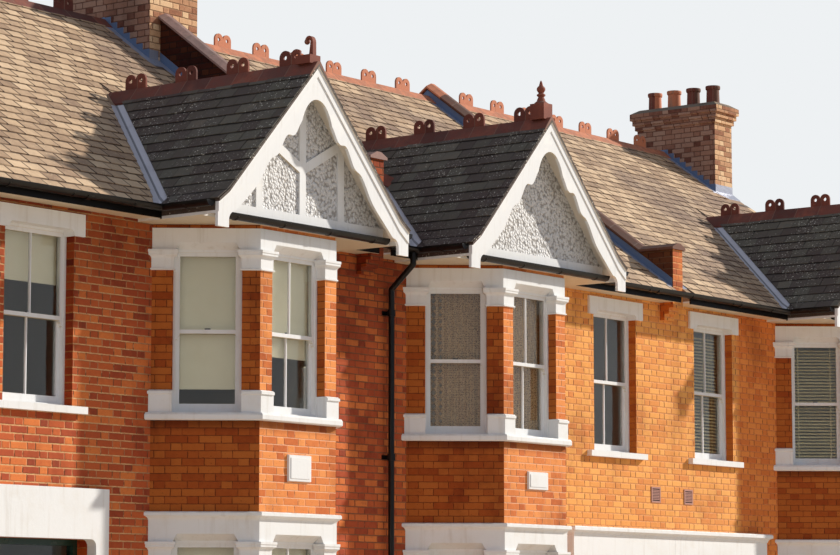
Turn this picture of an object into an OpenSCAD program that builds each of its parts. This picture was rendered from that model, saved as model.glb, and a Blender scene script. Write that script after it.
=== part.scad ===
// Row of three two-storey terraced houses with canted bay windows under
// square gables. The row runs along X, the street front faces -Y and the
// ground is Z = 0. The origin is the middle of the row on the front face.
// All sizes are millimetres.

/* [Row] */
// Width of one house, between party wall centre lines
house_w = 6153; // [5900:1:6600]
// Depth of the houses, from front face to rear face
house_d = 7400; // [6800:10:8200]
// Thickness of the outside walls and party walls, one brick
wall_t = 225; // [210:1:240]
// Height of one brick course with its joint
course_h = 76.2; // [74:0.1:78]

/* [Levels] */
// Top of the ground floor
ground_floor_z = 300; // [200:10:400]
// Top of the upper floor
upper_floor_z = 3400; // [3300:10:3500]
// Thickness of each floor
floor_t = 220; // [180:5:240]
// Underside of the ground storey window sills
low_sill_z = 1067; // [900:1:1200]
// Top of the cornice between the storeys of a bay
cornice_z = 3124; // [3050:1:3160]
// Underside of the upper storey window sills
high_sill_z = 4038; // [3960:1:4100]
// Top of the plain frieze under a bay gable
frieze_z = 5985; // [5950:1:5990]

/* [Bays] */
// Distance from the party wall centre line to the middle of the bay
bay_off = 2098; // [2000:1:2200]
// Width of the bay where it meets the wall
bay_w = 2631; // [2560:1:2700]
// Width of the front face of the bay
bay_front = 1215; // [1150:1:1260]
// Depth of the bay in front of the wall
bay_d = 834; // [780:1:880]
// Width of the brick pier beside the wall
pier_wall = 213; // [190:1:230]
// Width of the brick pier beside a corner, on either face
pier_arris = 185; // [170:1:200]

/* [Dressed stone] */
// Thickness of a window sill
sill_t = 76; // [60:1:90]
// Distance that a sill stands in front of the brick
sill_out = 68; // [50:1:80]
// Height of the small pedestals under the bay piers
pedestal_h = 229; // [200:1:250]
// Distance that the pedestals stand in front of the brick
pedestal_out = 27; // [20:1:35]
// Height of the capitals on the bay piers
capital_h = 208; // [190:1:225]
// Distance that the capitals stand in front of the brick
capital_out = 48; // [40:1:56]
// Radius of the shoulders in the corners of a window head
shoulder_r = 70; // [50:1:90]
// Height of the plain band and cornice between the storeys
band_h = 300; // [280:1:330]
// Distance that the cornice stands in front of the brick
cornice_out = 62; // [50:1:75]

/* [Windows and doors] */
// Distance from the party wall line to the middle of the single window
win_off = 1150; // [1100:1:1250]
// Width of the single window opening
win_w = 940; // [860:1:1000]
// Length of the window lintel
lintel_w = 1190; // [1150:1:1240]
// Height of the window lintel at its ends
lintel_h = 220; // [200:1:240]
// Height that the middle of a lintel is cut away from below
lintel_rise = 60; // [40:1:70]
// Length of the single window sill
sill_w = 1250; // [1200:1:1300]
// Depth of the outside reveal in front of a window frame
reveal = 107; // [90:1:115]
// Width of the wooden members of a window frame
frame_w = 26; // [20:1:40]
// Width of the stiles and rails of a sash
sash_w = 40; // [36:1:50]
// Extra height of the bottom rail of a lower sash
sash_foot = 36; // [20:1:50]
// Thickness of a sash
sash_t = 42; // [36:1:45]
// Thickness of the glass
glass_t = 6; // [4:1:8]
// Share of the wall between party line and bay that the porch opening takes
porch_share = 0.577; // [0.54:0.001:0.6]
// Width of the front door
door_w = 838; // [762:1:864]
// Height of the front and rear doors
door_h = 2030; // [1980:1:2100]
// Height of the light over a rear door, with its frame
fanlight_h = 300; // [260:5:340]

/* [Main roof] */
// Slope of the main roof in degrees
roof_pitch = 36.3; // [35:0.1:37.5]
// Height of the slates at the eaves edge
eaves_z = 6160; // [6130:1:6200]
// Distance that the eaves stand in front of the wall
eaves_out = 300; // [260:1:340]
// Thickness of the roof, rafters and slates
roof_t = 130; // [110:1:150]

/* [Bay gables] */
// Slope of the gable roofs in degrees
gable_pitch = 46.7; // [46:0.1:47.5]
// Height of the gable ridge, top of the slates
gable_ridge_z = 7744; // [7720:1:7770]
// Half width of the gable roof
gable_half = 1530; // [1500:1:1550]
// Width of the flatter part at the foot of a gable slope
kick_w = 150; // [120:1:180]
// Distance from the front wall to the front of the gable roof
gable_out = 1035; // [1000:1:1080]
// Thickness of the gable roof
gable_t = 80; // [70:1:86]
// Thickness of the bargeboards
barge_t = 35; // [25:1:45]
// Depth of the bargeboards in the hollows of their lower edge
barge_h = 205; // [190:1:225]
// Length of the feet of the bargeboards below the eaves
barge_foot = 275; // [240:1:300]
// Width of the timbers on the first gable
timber_w = 100; // [90:1:110]

/* [Parapets and chimneys] */
// Height of the brick parapet above the slates
parapet_rise = 131; // [110:1:180]
// Extra height of the parapet that carries a chimney
parapet_extra = 380; // [300:5:450]
// Thickness of the clay coping
coping_t = 80; // [60:1:90]
// Width of the clay coping
coping_w = 300; // [280:1:330]
// Distance that the parapet end stands in front of the wall
kneeler_out = 200; // [180:1:220]
// Length of the level top of the parapet behind the wall face
kneeler_in = 290; // [250:1:340]
// Length of a chimney along the party wall
stack_l = 1580; // [1450:5:1700]
// Distance from the front wall to the chimney
stack_y = 2960; // [2900:5:3050]
// Length of the chimney on the end party wall
stack_l_end = 1380; // [1300:5:1450]
// Distance from the front wall to the chimney on the end party wall
stack_y_end = 2780; // [2720:5:2840]
// Width of the chimney over the middle party wall
stack_w_middle = 830; // [780:1:860]
// Width of the chimney over the end party wall
stack_w_end = 480; // [460:1:520]
// Height of the chimney brickwork above the main ridge
stack_rise = 692; // [630:1:760]
// Height of the chimney pots
pot_h = 290; // [250:1:330]
// Diameter of the chimney pots
pot_d = 210; // [190:1:230]

/* [Hidden] */

brick_red = [0.72, 0.34, 0.18];
stone_white = [0.92, 0.90, 0.86];
wood_white = [0.93, 0.93, 0.91];
slate_brown = [0.55, 0.47, 0.40];
slate_dark = [0.24, 0.24, 0.25];
clay_red = [0.52, 0.24, 0.20];
lead_grey = [0.58, 0.64, 0.70];
iron_black = [0.08, 0.08, 0.09];

// Party lines 0 to 3 and houses 0 to 2. Houses are handed in pairs, so a bay
// stands beside party lines 1 and 3 and a porch beside lines 0 and 2.
houses = [0, 1, 2];
function party_x(i) = (i - 1.5) * house_w;
function hand(h) = h % 2 == 0 ? 1 : -1;
function bay_x(h) = party_x(2 * floor(h / 2) + 1) - hand(h) * bay_off;
function door_line(h) = 2 * floor((h + 1) / 2);
function win_x(h) = party_x(door_line(h)) + hand(h) * win_off;
free_w = house_w - bay_off - bay_w / 2;
porch_w = porch_share * free_w;
porch_off = 0.39 * free_w;
function porch_x(h) = party_x(door_line(h)) + hand(h) * porch_off;
function room_x0(h) = party_x(h) + wall_t / 2;
function room_x1(h) = party_x(h + 1) - wall_t / 2;

// Roof heights. The rear slope mirrors the front one about the ridge.
ridge_y = house_d / 2;
slope = tan(roof_pitch);
roof_drop = roof_t / cos(roof_pitch);
function roof_z(y) = eaves_z + (min(y, house_d - y) + eaves_out) * slope;
ridge_z = roof_z(ridge_y);
gable_slope = tan(gable_pitch);
gable_drop = gable_t / cos(gable_pitch);
kick_z = gable_ridge_z - (gable_half - kick_w) * gable_slope;
gable_eaves_z = kick_z - kick_w * slope;
gable_back = (gable_ridge_z - eaves_z) / slope - eaves_out;
below_z = gable_eaves_z - 400;
stack_z = ridge_z + stack_rise;
breast_z = (eaves_z + ridge_z) / 2;

// Bay plan, moved outwards by o from the brick face
cant_run = (bay_w - bay_front) / 2;
cant_a = atan2(bay_d, cant_run);
cant_l = sqrt(cant_run * cant_run + bay_d * bay_d);
function bay_wx(o) = bay_w / 2 + o / sin(cant_a);
function bay_cx(o) = bay_front / 2 + o * tan(cant_a / 2);
bay_open = bay_wx(-wall_t);
cant_win = cant_l - pier_wall - pier_arris;
front_win = bay_front - 2 * pier_arris;

// Heights that follow from the levels
low_open_z = low_sill_z + sill_t;
high_open_z = high_sill_z + sill_t;
band_z = cornice_z - band_h;
low_capital_z = band_z - capital_h;
head_in = 12;
low_head_z = band_z + head_in;
high_capital_z = frieze_z - 430;
high_capital_top = high_capital_z + capital_h;
high_head_z = high_capital_top + head_in;
lintel_z = frieze_z - 205;
win_head_z = lintel_z + lintel_rise;
lintel_out = 30;
single_sill_t = 70;
rear_win_w = 1000;
transom_z = ground_floor_z + door_h;
rear_low_z = transom_z + fanlight_h;
rear_low_head_z = rear_low_z + lintel_rise;
rear_door_w = 900;
sash_y = reveal + 12;
frame_d = 2 * sash_t + 24;

// A box from corner a to corner b
module block(a, b) { translate(a) cube(b - a); }

// Everything under the slates of the main roof, lowered by drop
module under_roof(drop, x0, x1, y0, y1, z0 = 0) {
    translate([x0, 0, 0]) rotate([90, 0, 90]) linear_extrude(x1 - x0)
        polygon([[y0, z0], [y1, z0], [y1, roof_z(y1) - drop],
            [ridge_y, ridge_z - drop], [y0, roof_z(y0) - drop]]);
}

// Everything under the slates of one gable roof, lowered by drop. The slope is
// flatter over its last part.
module under_gable(h, drop, y0, y1, z0) {
    kick_x = gable_half - kick_w;
    translate([bay_x(h), y1, 0]) rotate([90, 0, 0]) linear_extrude(y1 - y0)
        polygon([[-gable_half, z0], [gable_half, z0], [gable_half, gable_eaves_z - drop],
            [kick_x, kick_z - drop], [0, gable_ridge_z - drop],
            [-kick_x, kick_z - drop], [-gable_half, gable_eaves_z - drop]]);
}

// Where the chimney of a party line stands: 1 over the middle, 3 at the end.
// The share of the middle one's width is what stands left of its line.
stack_share = 0.36;
function stack_y0(i) = i == 1 ? stack_y : stack_y_end;
function stack_y1(i) = i == 1 ? stack_y + stack_l : stack_y_end + stack_l_end;
function stack_x0(i) = i == 1 ? party_x(1) - stack_w_middle * stack_share
    : party_x(3) + wall_t / 2 - stack_w_end;
function stack_x1(i) = stack_x0(i) + (i == 1 ? stack_w_middle : stack_w_end);
module stack_space(i, z0, z1) {
    block([stack_x0(i), stack_y0(i), z0], [stack_x1(i), stack_y1(i), z1]);
}

// One party wall. Lines 0 to 2 rise through the roof as a parapet whose ends
// stand forward on three corbelled courses. Line 3 stops under the slates.
function parapet_h(i) = parapet_rise + (i == 1 ? parapet_extra : 0);
function corbel_z() = eaves_z - 103 - 3 * course_h;
function parapet_end(i) = let(z = corbel_z(), step = kneeler_out / 3)
    [[0, z], [-step, z], [-step, z + course_h],
     [-2 * step, z + course_h], [-2 * step, z + 2 * course_h],
     [-kneeler_out, z + 2 * course_h], [-kneeler_out, roof_z(kneeler_in) + parapet_h(i)],
     [kneeler_in, roof_z(kneeler_in) + parapet_h(i)]];
function turned(points) = [for (k = [len(points) - 1:-1:0])
    [house_d - points[k][0], points[k][1]]];
module party_wall(i) {
    front = parapet_end(i);
    top = concat([[0, 0]], front, [[ridge_y, ridge_z + parapet_h(i)]],
        turned(front), [[house_d, 0]]);
    plain = [[0, 0], [0, roof_z(0) - roof_drop], [ridge_y, ridge_z - roof_drop],
        [house_d, roof_z(0) - roof_drop], [house_d, 0]];
    color(brick_red) difference() {
        translate([party_x(i) - wall_t / 2, 0, 0]) rotate([90, 0, 90])
            linear_extrude(wall_t) polygon(i < 3 ? top : plain);
        if (i % 2 == 1) stack_space(i, breast_z, stack_z);
    }
}

// A closed solid through rings of points that all have the same count
module swept(rings) {
    n = len(rings[0]);
    m = len(rings);
    polyhedron(points = [for (ring = rings) each ring],
        faces = concat([[for (k = [n - 1:-1:0]) k]],
            [for (r = [0:m - 2]) for (k = [0:n - 1])
                [r * n + k, r * n + (k + 1) % n, (r + 1) * n + (k + 1) % n, (r + 1) * n + k]],
            [[for (k = [0:n - 1]) (m - 1) * n + k]]));
}

// Saddle coping swept over the parapet from end to end
module coping(i) {
    h = parapet_h(i);
    z_end = roof_z(kneeler_in) + h;
    lip = 25;
    path = [[-lip - kneeler_out, z_end], [kneeler_in, z_end], [ridge_y, ridge_z + h],
        [house_d - kneeler_in, z_end], [house_d + kneeler_out + lip, z_end]];
    half = coping_w / 2;
    section = [[-half, 0], [half, 0], [half, coping_t * 0.35],
        [half * 0.25, coping_t], [-half * 0.25, coping_t], [-half, coping_t * 0.35]];
    color(clay_red) difference() {
        translate([party_x(i), 0, 0])
            swept([for (p = path) [for (s = section) [s[0], p[0], p[1] + s[1]]]]);
        if (i == 1) stack_space(i, breast_z, stack_z);
    }
}

module parapet_coping() { for (i = [0, 1, 2]) coping(i); }

// The wall between two party walls, up to the underside of the roof
module house_wall(h, y0) {
    intersection() {
        block([room_x0(h), y0, 0], [room_x1(h), y0 + wall_t, ridge_z]);
        under_roof(roof_drop, room_x0(h), room_x1(h), -eaves_out, house_d + eaves_out);
    }
}

// Hole for a window in a straight wall with its sill and lintel
module wall_hole(x, w, z0, z1, y0) {
    block([x - w / 2, y0 - 1, z0], [x + w / 2, y0 + wall_t + 1, z1]);
}

module front_wall(h) {
    color(brick_red) difference() {
        house_wall(h, 0);
        wall_hole(win_x(h), win_w, high_sill_z, lintel_z, 0);
        wall_hole(win_x(h), sill_w, high_sill_z, high_sill_z + single_sill_t, 0);
        wall_hole(win_x(h), lintel_w, lintel_z, lintel_z + lintel_h, 0);
        wall_hole(porch_x(h), porch_w, ground_floor_z - floor_t, band_z, 0);
        wall_hole(bay_x(h), 2 * bay_open, ground_floor_z - floor_t, band_z, 0);
        wall_hole(bay_x(h), 2 * bay_open, upper_floor_z - floor_t, frieze_z, 0);
    }
}

// Rear openings of one house: a door and a window below, two windows above
rear_side = 0.244 * house_w;
function rear_xs(h) = [room_x0(h) + rear_side, room_x1(h) - rear_side];
module rear_wall() {
    color(brick_red) for (h = houses) difference() {
        house_wall(h, house_d - wall_t);
        for (x = rear_xs(h)) {
            wall_hole(x, rear_win_w, high_sill_z, lintel_z, house_d - wall_t);
            wall_hole(x, sill_w, high_sill_z, high_sill_z + single_sill_t,
                house_d - wall_t);
            wall_hole(x, lintel_w, lintel_z, lintel_z + lintel_h, house_d - wall_t);
        }
        wall_hole(rear_xs(h)[0], rear_win_w, low_sill_z, rear_low_z, house_d - wall_t);
        wall_hole(rear_xs(h)[0], sill_w, low_sill_z, low_sill_z + single_sill_t,
            house_d - wall_t);
        wall_hole(rear_xs(h)[1], rear_door_w, ground_floor_z, rear_low_z,
            house_d - wall_t);
        for (x = rear_xs(h)) wall_hole(x, lintel_w, rear_low_z, rear_low_z + lintel_h,
            house_d - wall_t);
    }
}

// A floor of one house: the room, the opening to the bay and the bay itself
module floor_plate(h, z) {
    difference() {
        translate([0, 0, z - floor_t]) linear_extrude(floor_t) union() {
            translate([room_x0(h), wall_t])
                square([room_x1(h) - room_x0(h), house_d - 2 * wall_t]);
            translate([bay_x(h), 0]) polygon([[-bay_open, 0],
                [-bay_cx(-wall_t), wall_t - bay_d], [bay_cx(-wall_t), wall_t - bay_d],
                [bay_open, 0], [bay_open, wall_t + 1], [-bay_open, wall_t + 1]]);
            if (z == ground_floor_z) translate([porch_x(h) - porch_w / 2, 0])
                square([porch_w, wall_t + 1]);
        }
        if (h == 1) stack_space(1, 0, breast_z);
        if (h == 2) stack_space(3, 0, breast_z);
    }
}
module ground_floor() {
    color("tan") for (h = houses) floor_plate(h, ground_floor_z);
}
module upper_floor() {
    color("tan") for (h = houses) floor_plate(h, upper_floor_z);
}

// A band round the three faces of a bay, from z0 to z1, standing out by o
module bay_ring(o, z0, z1) {
    translate([0, 0, z0]) linear_extrude(z1 - z0) difference() {
        polygon([[-bay_wx(o), 0], [-bay_cx(o), -bay_d - o],
            [bay_cx(o), -bay_d - o], [bay_wx(o), 0]]);
        polygon([[-bay_open, 1], [-bay_open, 0],
            [-bay_cx(-wall_t), wall_t - bay_d], [bay_cx(-wall_t), wall_t - bay_d],
            [bay_open, 0], [bay_open, 1]]);
    }
}

// A moulding round the bay from a profile of [distance out, height] points
function bay_line(o) = [[-bay_wx(o), 0], [-bay_cx(o), -bay_d - o],
    [bay_cx(o), -bay_d - o], [bay_wx(o), 0]];
module bay_mould(z0, profile) {
    closed = concat([[-wall_t, profile[0][1]]], profile,
        [[-wall_t, profile[len(profile) - 1][1]]]);
    swept([for (s = [0:3]) [for (p = closed)
        [bay_line(p[0])[s][0], bay_line(p[0])[s][1], z0 + p[1]]]]);
}

// Puts its children at the middle of each window of a bay, with X along the
// face, Y into the room and Z up; $w is the width of that window.
module bay_faces() {
    for (side = [0, 1]) mirror([side, 0, 0]) translate([-bay_w / 2, 0, 0])
        rotate(-cant_a) translate([pier_wall + cant_win / 2, 0, 0]) {
            $w = cant_win;
            children();
        }
    translate([0, -bay_d, 0]) {
        $w = front_win;
        children();
    }
}

// The three window openings of a bay
module bay_holes(z0, z1) {
    bay_faces() translate([-$w / 2, -sill_out - 1, z0])
        cube([$w, wall_t + sill_out + 2, z1 - z0]);
}
module shoulders(w, z0, z1, r) {
    translate([-w / 2, z0]) square([w, z1 - r - z0]);
    translate([r - w / 2, z0]) square([w - 2 * r, z1 - z0]);
    for (s = [-1, 1]) translate([s * (w / 2 - r), z1 - r]) circle(r = r, $fn = 32);
}

module bay_brick(h) {
    color(brick_red) translate([bay_x(h), 0, 0]) {
        bay_ring(0, 0, low_sill_z);
        difference() {
            bay_ring(0, low_open_z + pedestal_h, low_capital_z);
            bay_holes(low_open_z, band_z);
        }
        bay_ring(0, cornice_z, high_sill_z);
        difference() {
            bay_ring(0, high_open_z + pedestal_h, high_capital_z);
            bay_holes(high_open_z, high_capital_top);
        }
    }
}

// A cut brick course between the frieze of each bay and the soffit over it
course_in = 10;
soffit_z = frieze_z + course_h / 2;
module bay_brick_tops() {
    color(brick_red) for (h = houses) translate([bay_x(h), 0, 0])
        bay_ring(-course_in, frieze_z, soffit_z);
}

// Sill with its four pedestals, each with a raised band near its top
module bay_sill(z) {
    top = sill_t + pedestal_h;
    bay_mould(z, [[sill_out - 12, 0], [sill_out, 12], [sill_out, sill_t - 22],
        [sill_out - 14, sill_t]]);
    difference() {
        bay_mould(z, [[pedestal_out, sill_t], [pedestal_out, top - 46],
            [pedestal_out + 14, top - 40], [pedestal_out + 14, top - 14],
            [pedestal_out, top - 8], [pedestal_out - 6, top]]);
        bay_holes(z + sill_t, z + top + 1);
    }
}

// Four capitals over the piers of a bay: a bead, a plain block, a hollow that
// flares out and two fillets, on the window sides too
module bay_head(z0) {
    neck = 8;
    flare = capital_h - 52;
    profile = concat([[neck, 0], [neck + 12, 5], [neck + 12, 17], [neck, 22],
        [neck, flare - 46]], [for (a = [15:15:75])
            [neck + 36 * (1 - cos(a)), flare - 46 + 40 * sin(a)]],
        [[capital_out - 6, flare], [capital_out - 6, flare + 22],
            [capital_out, flare + 26], [capital_out, capital_h]]);
    edge = concat([[neck, -1]], profile, [[capital_out, capital_h + 1]]);
    difference() {
        bay_mould(z0, profile);
        bay_faces() translate([0, reveal, z0]) {
            rotate([90, 0, 0]) linear_extrude(reveal + capital_out + 50)
                polygon(concat([for (p = edge) [p[0] - $w / 2, p[1]]],
                    [for (k = [len(edge) - 1:-1:0]) [$w / 2 - edge[k][0], edge[k][1]]]));
            translate([-$w / 2, 0, -1]) cube([$w, wall_t - reveal + 1, capital_h + 2]);
        }
    }
}

// Cuts the three window heads from the stone over the capitals: a splayed
// soffit with cut corners in front of each frame, a square space behind it
head_rise = 78;
head_cut = 44;
head_side = 20;
head_foot = 4;
module bay_heads_space(z0) {
    cut_in = head_cut * (head_in - head_foot) / (head_rise - head_foot);
    bay_faces() {
        half = $w / 2 - head_side;
        swept([for (r = [[-head_side, head_rise, head_cut], [0, head_rise, head_cut],
            [reveal + 1, head_in, cut_in]]) [for (p = [[half, -1], [half, head_foot],
                [half - r[2], r[1]], [r[2] - half, r[1]], [-half, head_foot], [-half, -1]])
                    [p[0], r[0], z0 + p[1]]]]);
        translate([-$w / 2, reveal, z0 - 1]) cube([$w, wall_t - reveal + 1, head_in + 1]);
    }
}

module bay_stone(h) {
    band_top = cornice_z - 96 - band_z;
    color(stone_white) translate([bay_x(h), 0, 0]) {
        bay_sill(low_sill_z);
        bay_head(low_capital_z);
        difference() {
            bay_mould(band_z, concat([[12, 0], [12, band_top]], [for (a = [15:15:75])
                [12 + 34 * (1 - cos(a)), band_top + 44 * sin(a)]],
                [[48, band_top + 50], [cornice_out, band_top + 56],
                    [cornice_out, cornice_z - 12 - band_z],
                    [cornice_out - 14, cornice_z - band_z]]));
            bay_heads_space(band_z);
        }
        bay_sill(high_sill_z);
        bay_head(high_capital_z);
        difference() {
            bay_ring(0, high_capital_top, frieze_z);
            bay_heads_space(high_capital_top);
        }
    }
}

// A sash window of outer size w by h: a box frame, an upper sash outside and
// a lower sash inside it. X is across, Y into the room, Z up.
module sash_ring(w, h, z, y, t, m, foot = 0) {
    translate([0, y + t, z]) rotate([90, 0, 0]) linear_extrude(t) difference() {
        translate([-w / 2, 0]) square([w, h]);
        translate([m - w / 2, m + foot]) square([w - 2 * m, h - 2 * m - foot]);
    }
}
module sash_window(w, z0, z1) {
    inner_w = w - 2 * frame_w;
    inner_h = z1 - z0 - 2 * frame_w;
    sash_h = (inner_h + sash_w) / 2;
    sash_ring(w, z1 - z0, z0, reveal, frame_d, frame_w);
    sash_ring(inner_w, sash_h, z1 - frame_w - sash_h, sash_y, sash_t, sash_w);
    sash_ring(inner_w, sash_h, z0 + frame_w, sash_y + sash_t, sash_t, sash_w, sash_foot);
}
module sash_glass(w, z0, z1) {
    pane_w = w - 2 * frame_w - 2 * sash_w;
    sash_h = (z1 - z0 - 2 * frame_w + sash_w) / 2;
    pane_h = sash_h - 2 * sash_w;
    for (s = [[sash_y, z1 - frame_w - sash_h, 0], [sash_y + sash_t, z0 + frame_w, sash_foot]])
        translate([-pane_w / 2, s[0] + (sash_t - glass_t) / 2, s[1] + sash_w + s[2]])
            cube([pane_w, glass_t, pane_h - s[2]]);
}

module bay_windows(h) {
    color(wood_white) translate([bay_x(h), 0, 0]) bay_faces() {
        sash_window($w, low_open_z, low_head_z);
        sash_window($w, high_open_z, high_head_z);
    }
}
module front_windows() {
    color(wood_white) for (h = houses) translate([win_x(h), 0, 0])
        sash_window(win_w, high_sill_z + single_sill_t, win_head_z);
}
// Turns a front window round to look out of the rear wall at x
module at_rear(x) { translate([x, house_d, 0]) rotate(180) children(); }
module rear_windows() {
    color(wood_white) for (h = houses) {
        for (x = rear_xs(h)) at_rear(x)
            sash_window(rear_win_w, high_sill_z + single_sill_t, win_head_z);
        at_rear(rear_xs(h)[0])
            sash_window(rear_win_w, low_sill_z + single_sill_t, rear_low_head_z);
    }
}

module glass_ground() {
    color("lightcyan") for (h = houses) {
        translate([bay_x(h), 0, 0]) bay_faces() sash_glass($w, low_open_z, low_head_z);
        at_rear(rear_xs(h)[0])
            sash_glass(rear_win_w, low_sill_z + single_sill_t, rear_low_head_z);
        translate([porch_x(h), 0, 0]) front_lights(hand(h));
        at_rear(rear_xs(h)[1]) fanlight(rear_door_w, rear_low_head_z);
    }
}
module glass_upper() {
    color("lightcyan") for (h = houses) {
        translate([bay_x(h), 0, 0]) bay_faces() sash_glass($w, high_open_z, high_head_z);
        translate([win_x(h), 0, 0])
            sash_glass(win_w, high_sill_z + single_sill_t, win_head_z);
        for (x = rear_xs(h)) at_rear(x)
            sash_glass(rear_win_w, high_sill_z + single_sill_t, win_head_z);
    }
}

// Lintels with a soffit raised between two shoulders, square behind the frame
module lintel(w, open_w) {
    half = open_w / 2;
    side = half - 30;
    module slab(points, y0, y1) {
        translate([0, y1, 0]) rotate([90, 0, 0]) linear_extrude(y1 - y0) polygon(points);
    }
    slab(concat([[-w / 2, lintel_h], [-w / 2, 0], [-side - 10, 0]],
        [for (a = [0:15:90]) [-side + 45 * (1 - cos(a)), 12 + (lintel_rise - 12) * sin(a)]],
        [for (a = [90:-15:0]) [side - 45 * (1 - cos(a)), 12 + (lintel_rise - 12) * sin(a)]],
        [[side + 10, 0], [w / 2, 0], [w / 2, lintel_h]]), -lintel_out, reveal);
    slab([[-w / 2, lintel_h], [-w / 2, 0], [-half, 0], [-half, lintel_rise],
        [half, lintel_rise], [half, 0], [w / 2, 0], [w / 2, lintel_h]], reveal, wall_t);
}
module window_lintels() {
    color(stone_white) for (h = houses) {
        translate([win_x(h), 0, lintel_z]) lintel(lintel_w, win_w);
        for (x = rear_xs(h)) {
            at_rear(x) translate([0, 0, lintel_z]) lintel(lintel_w, rear_win_w);
            at_rear(x) translate([0, 0, rear_low_z])
                lintel(lintel_w, x == rear_xs(h)[0] ? rear_win_w : rear_door_w);
        }
    }
}
module single_sill() {
    block([-sill_w / 2, -sill_out, 0], [sill_w / 2, wall_t, single_sill_t]);
}
module window_sills() {
    color(stone_white) for (h = houses) {
        translate([win_x(h), 0, high_sill_z]) single_sill();
        for (x = rear_xs(h)) at_rear(x) translate([0, 0, high_sill_z]) single_sill();
        at_rear(rear_xs(h)[0]) translate([0, 0, low_sill_z]) single_sill();
    }
}

// Porch bands. The middle one spans two porches and has a cornice, the left
// one is plain and ends at the party wall where the row is cut.
porch_end = 0.82 * free_w;
porch_out = 120;
porch_foot_z = low_capital_z;
porch_joint = 6;
module porch_hole(x, z1) {
    translate([x, reveal, 0]) rotate([90, 0, 0])
        linear_extrude(reveal + porch_out + 1) shoulders(porch_w, 0, z1, shoulder_r);
    block([x - porch_w / 2, reveal - 1, 0], [x + porch_w / 2, wall_t + 1, z1]);
}
// A moulding along the front of a porch band and back to the wall at each end
module porch_mould(x0, x1, z0, profile) {
    closed = concat([[-porch_out, 0]], profile,
        [[-porch_out, profile[len(profile) - 1][1]]]);
    swept([for (s = [0:3]) [for (p = closed) [s < 2 ? x0 - p[0] : x1 + p[0],
        s == 0 || s == 3 ? 0 : -porch_out - p[0], z0 + p[1]]]]);
}
module porch_middle() {
    x = party_x(2);
    top = cornice_z + 50;
    cove = 46;
    color(stone_white) difference() {
        union() {
            block([x - porch_end, -porch_out, porch_foot_z], [x + porch_end, 0, top - 110]);
            porch_mould(x - porch_end, x + porch_end, top - 110,
                concat([[0, 0], [10, 6]], [for (a = [15:15:75])
                    [10 + 36 * (1 - cos(a)), 6 + cove * sin(a)]],
                    [[50, cove + 10], [62, cove + 16], [62, 96], [50, 110]]));
        }
        for (s = [-1, 1]) porch_hole(x + s * porch_off, band_z);
        block([x - porch_joint / 2, -porch_out - 1, porch_foot_z - 1],
            [x + porch_joint / 2, porch_joint - porch_out, top - 110]);
    }
}
module porch_left() {
    x0 = party_x(0) - wall_t / 2;
    x1 = party_x(0) + 0.752 * free_w;
    r = 40;
    color(stone_white) difference() {
        translate([0, 0, porch_foot_z]) linear_extrude(cornice_z + 190 - porch_foot_z) {
            translate([x0, -porch_out]) square([x1 - r - x0, porch_out]);
            translate([x0, r - porch_out]) square([x1 - x0, porch_out - r]);
            translate([x1 - r, r - porch_out]) circle(r = r, $fn = 32);
        }
        porch_hole(party_x(0) + porch_off, band_z);
    }
}

// Front doors: a frame across the porch opening with a transom, a door and a
// side light; side says which hand the door is on
door_y = wall_t - 90;
door_frame = 60;
door_x0 = -porch_w / 2 + door_frame;
module front_door(side) {
    mirror([side > 0 ? 0 : 1, 0, 0]) translate([0, wall_t, 0]) {
        rotate([90, 0, 0]) linear_extrude(90) difference() {
            translate([-porch_w / 2, ground_floor_z])
                square([porch_w, band_z - ground_floor_z]);
            translate([door_x0, ground_floor_z]) square([door_w, door_h]);
            translate([door_x0 + door_w + door_frame, ground_floor_z + 900])
                square([porch_w / 2 - door_frame - (door_x0 + door_w + door_frame),
                    door_h - 900]);
            translate([door_x0, transom_z + door_frame])
                square([porch_w - 2 * door_frame,
                    band_z - transom_z - 2 * door_frame]);
        }
        translate([door_x0, -70, ground_floor_z]) difference() {
            cube([door_w, 45, door_h]);
            for (px = [110, door_w / 2 + 45]) for (pz = [220, 1000])
                translate([px, -1, pz]) cube([door_w / 2 - 155, 13, pz < 500 ? 560 : 850]);
        }
    }
}
module front_lights(side) {
    mirror([side > 0 ? 0 : 1, 0, 0]) translate([0, wall_t - 50, 0]) {
        x1 = door_x0 + door_w + door_frame;
        translate([x1, 0, ground_floor_z + 900])
            cube([porch_w / 2 - door_frame - x1, glass_t, door_h - 900]);
        translate([door_x0, 0, transom_z + door_frame])
            cube([porch_w - 2 * door_frame, glass_t, band_z - transom_z - 2 * door_frame]);
    }
}
module front_doors() {
    color("darkslategray") for (h = houses)
        translate([porch_x(h), 0, 0]) front_door(hand(h));
}
// Rear doors: a frame with a fanlight over a plain door
module rear_door() {
    translate([0, wall_t, 0]) rotate([90, 0, 0]) linear_extrude(90) difference() {
        translate([-rear_door_w / 2, ground_floor_z])
            square([rear_door_w, rear_low_head_z - ground_floor_z]);
        translate([frame_w - rear_door_w / 2, transom_z + frame_w])
            square([rear_door_w - 2 * frame_w,
                rear_low_head_z - transom_z - 2 * frame_w]);
    }
}
module fanlight(w, z1) {
    translate([frame_w - w / 2, wall_t - 50, transom_z + frame_w])
        cube([w - 2 * frame_w, glass_t, z1 - transom_z - 2 * frame_w]);
}
module rear_doors() {
    color("darkslategray") for (h = houses) at_rear(rear_xs(h)[1]) rear_door();
}

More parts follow.
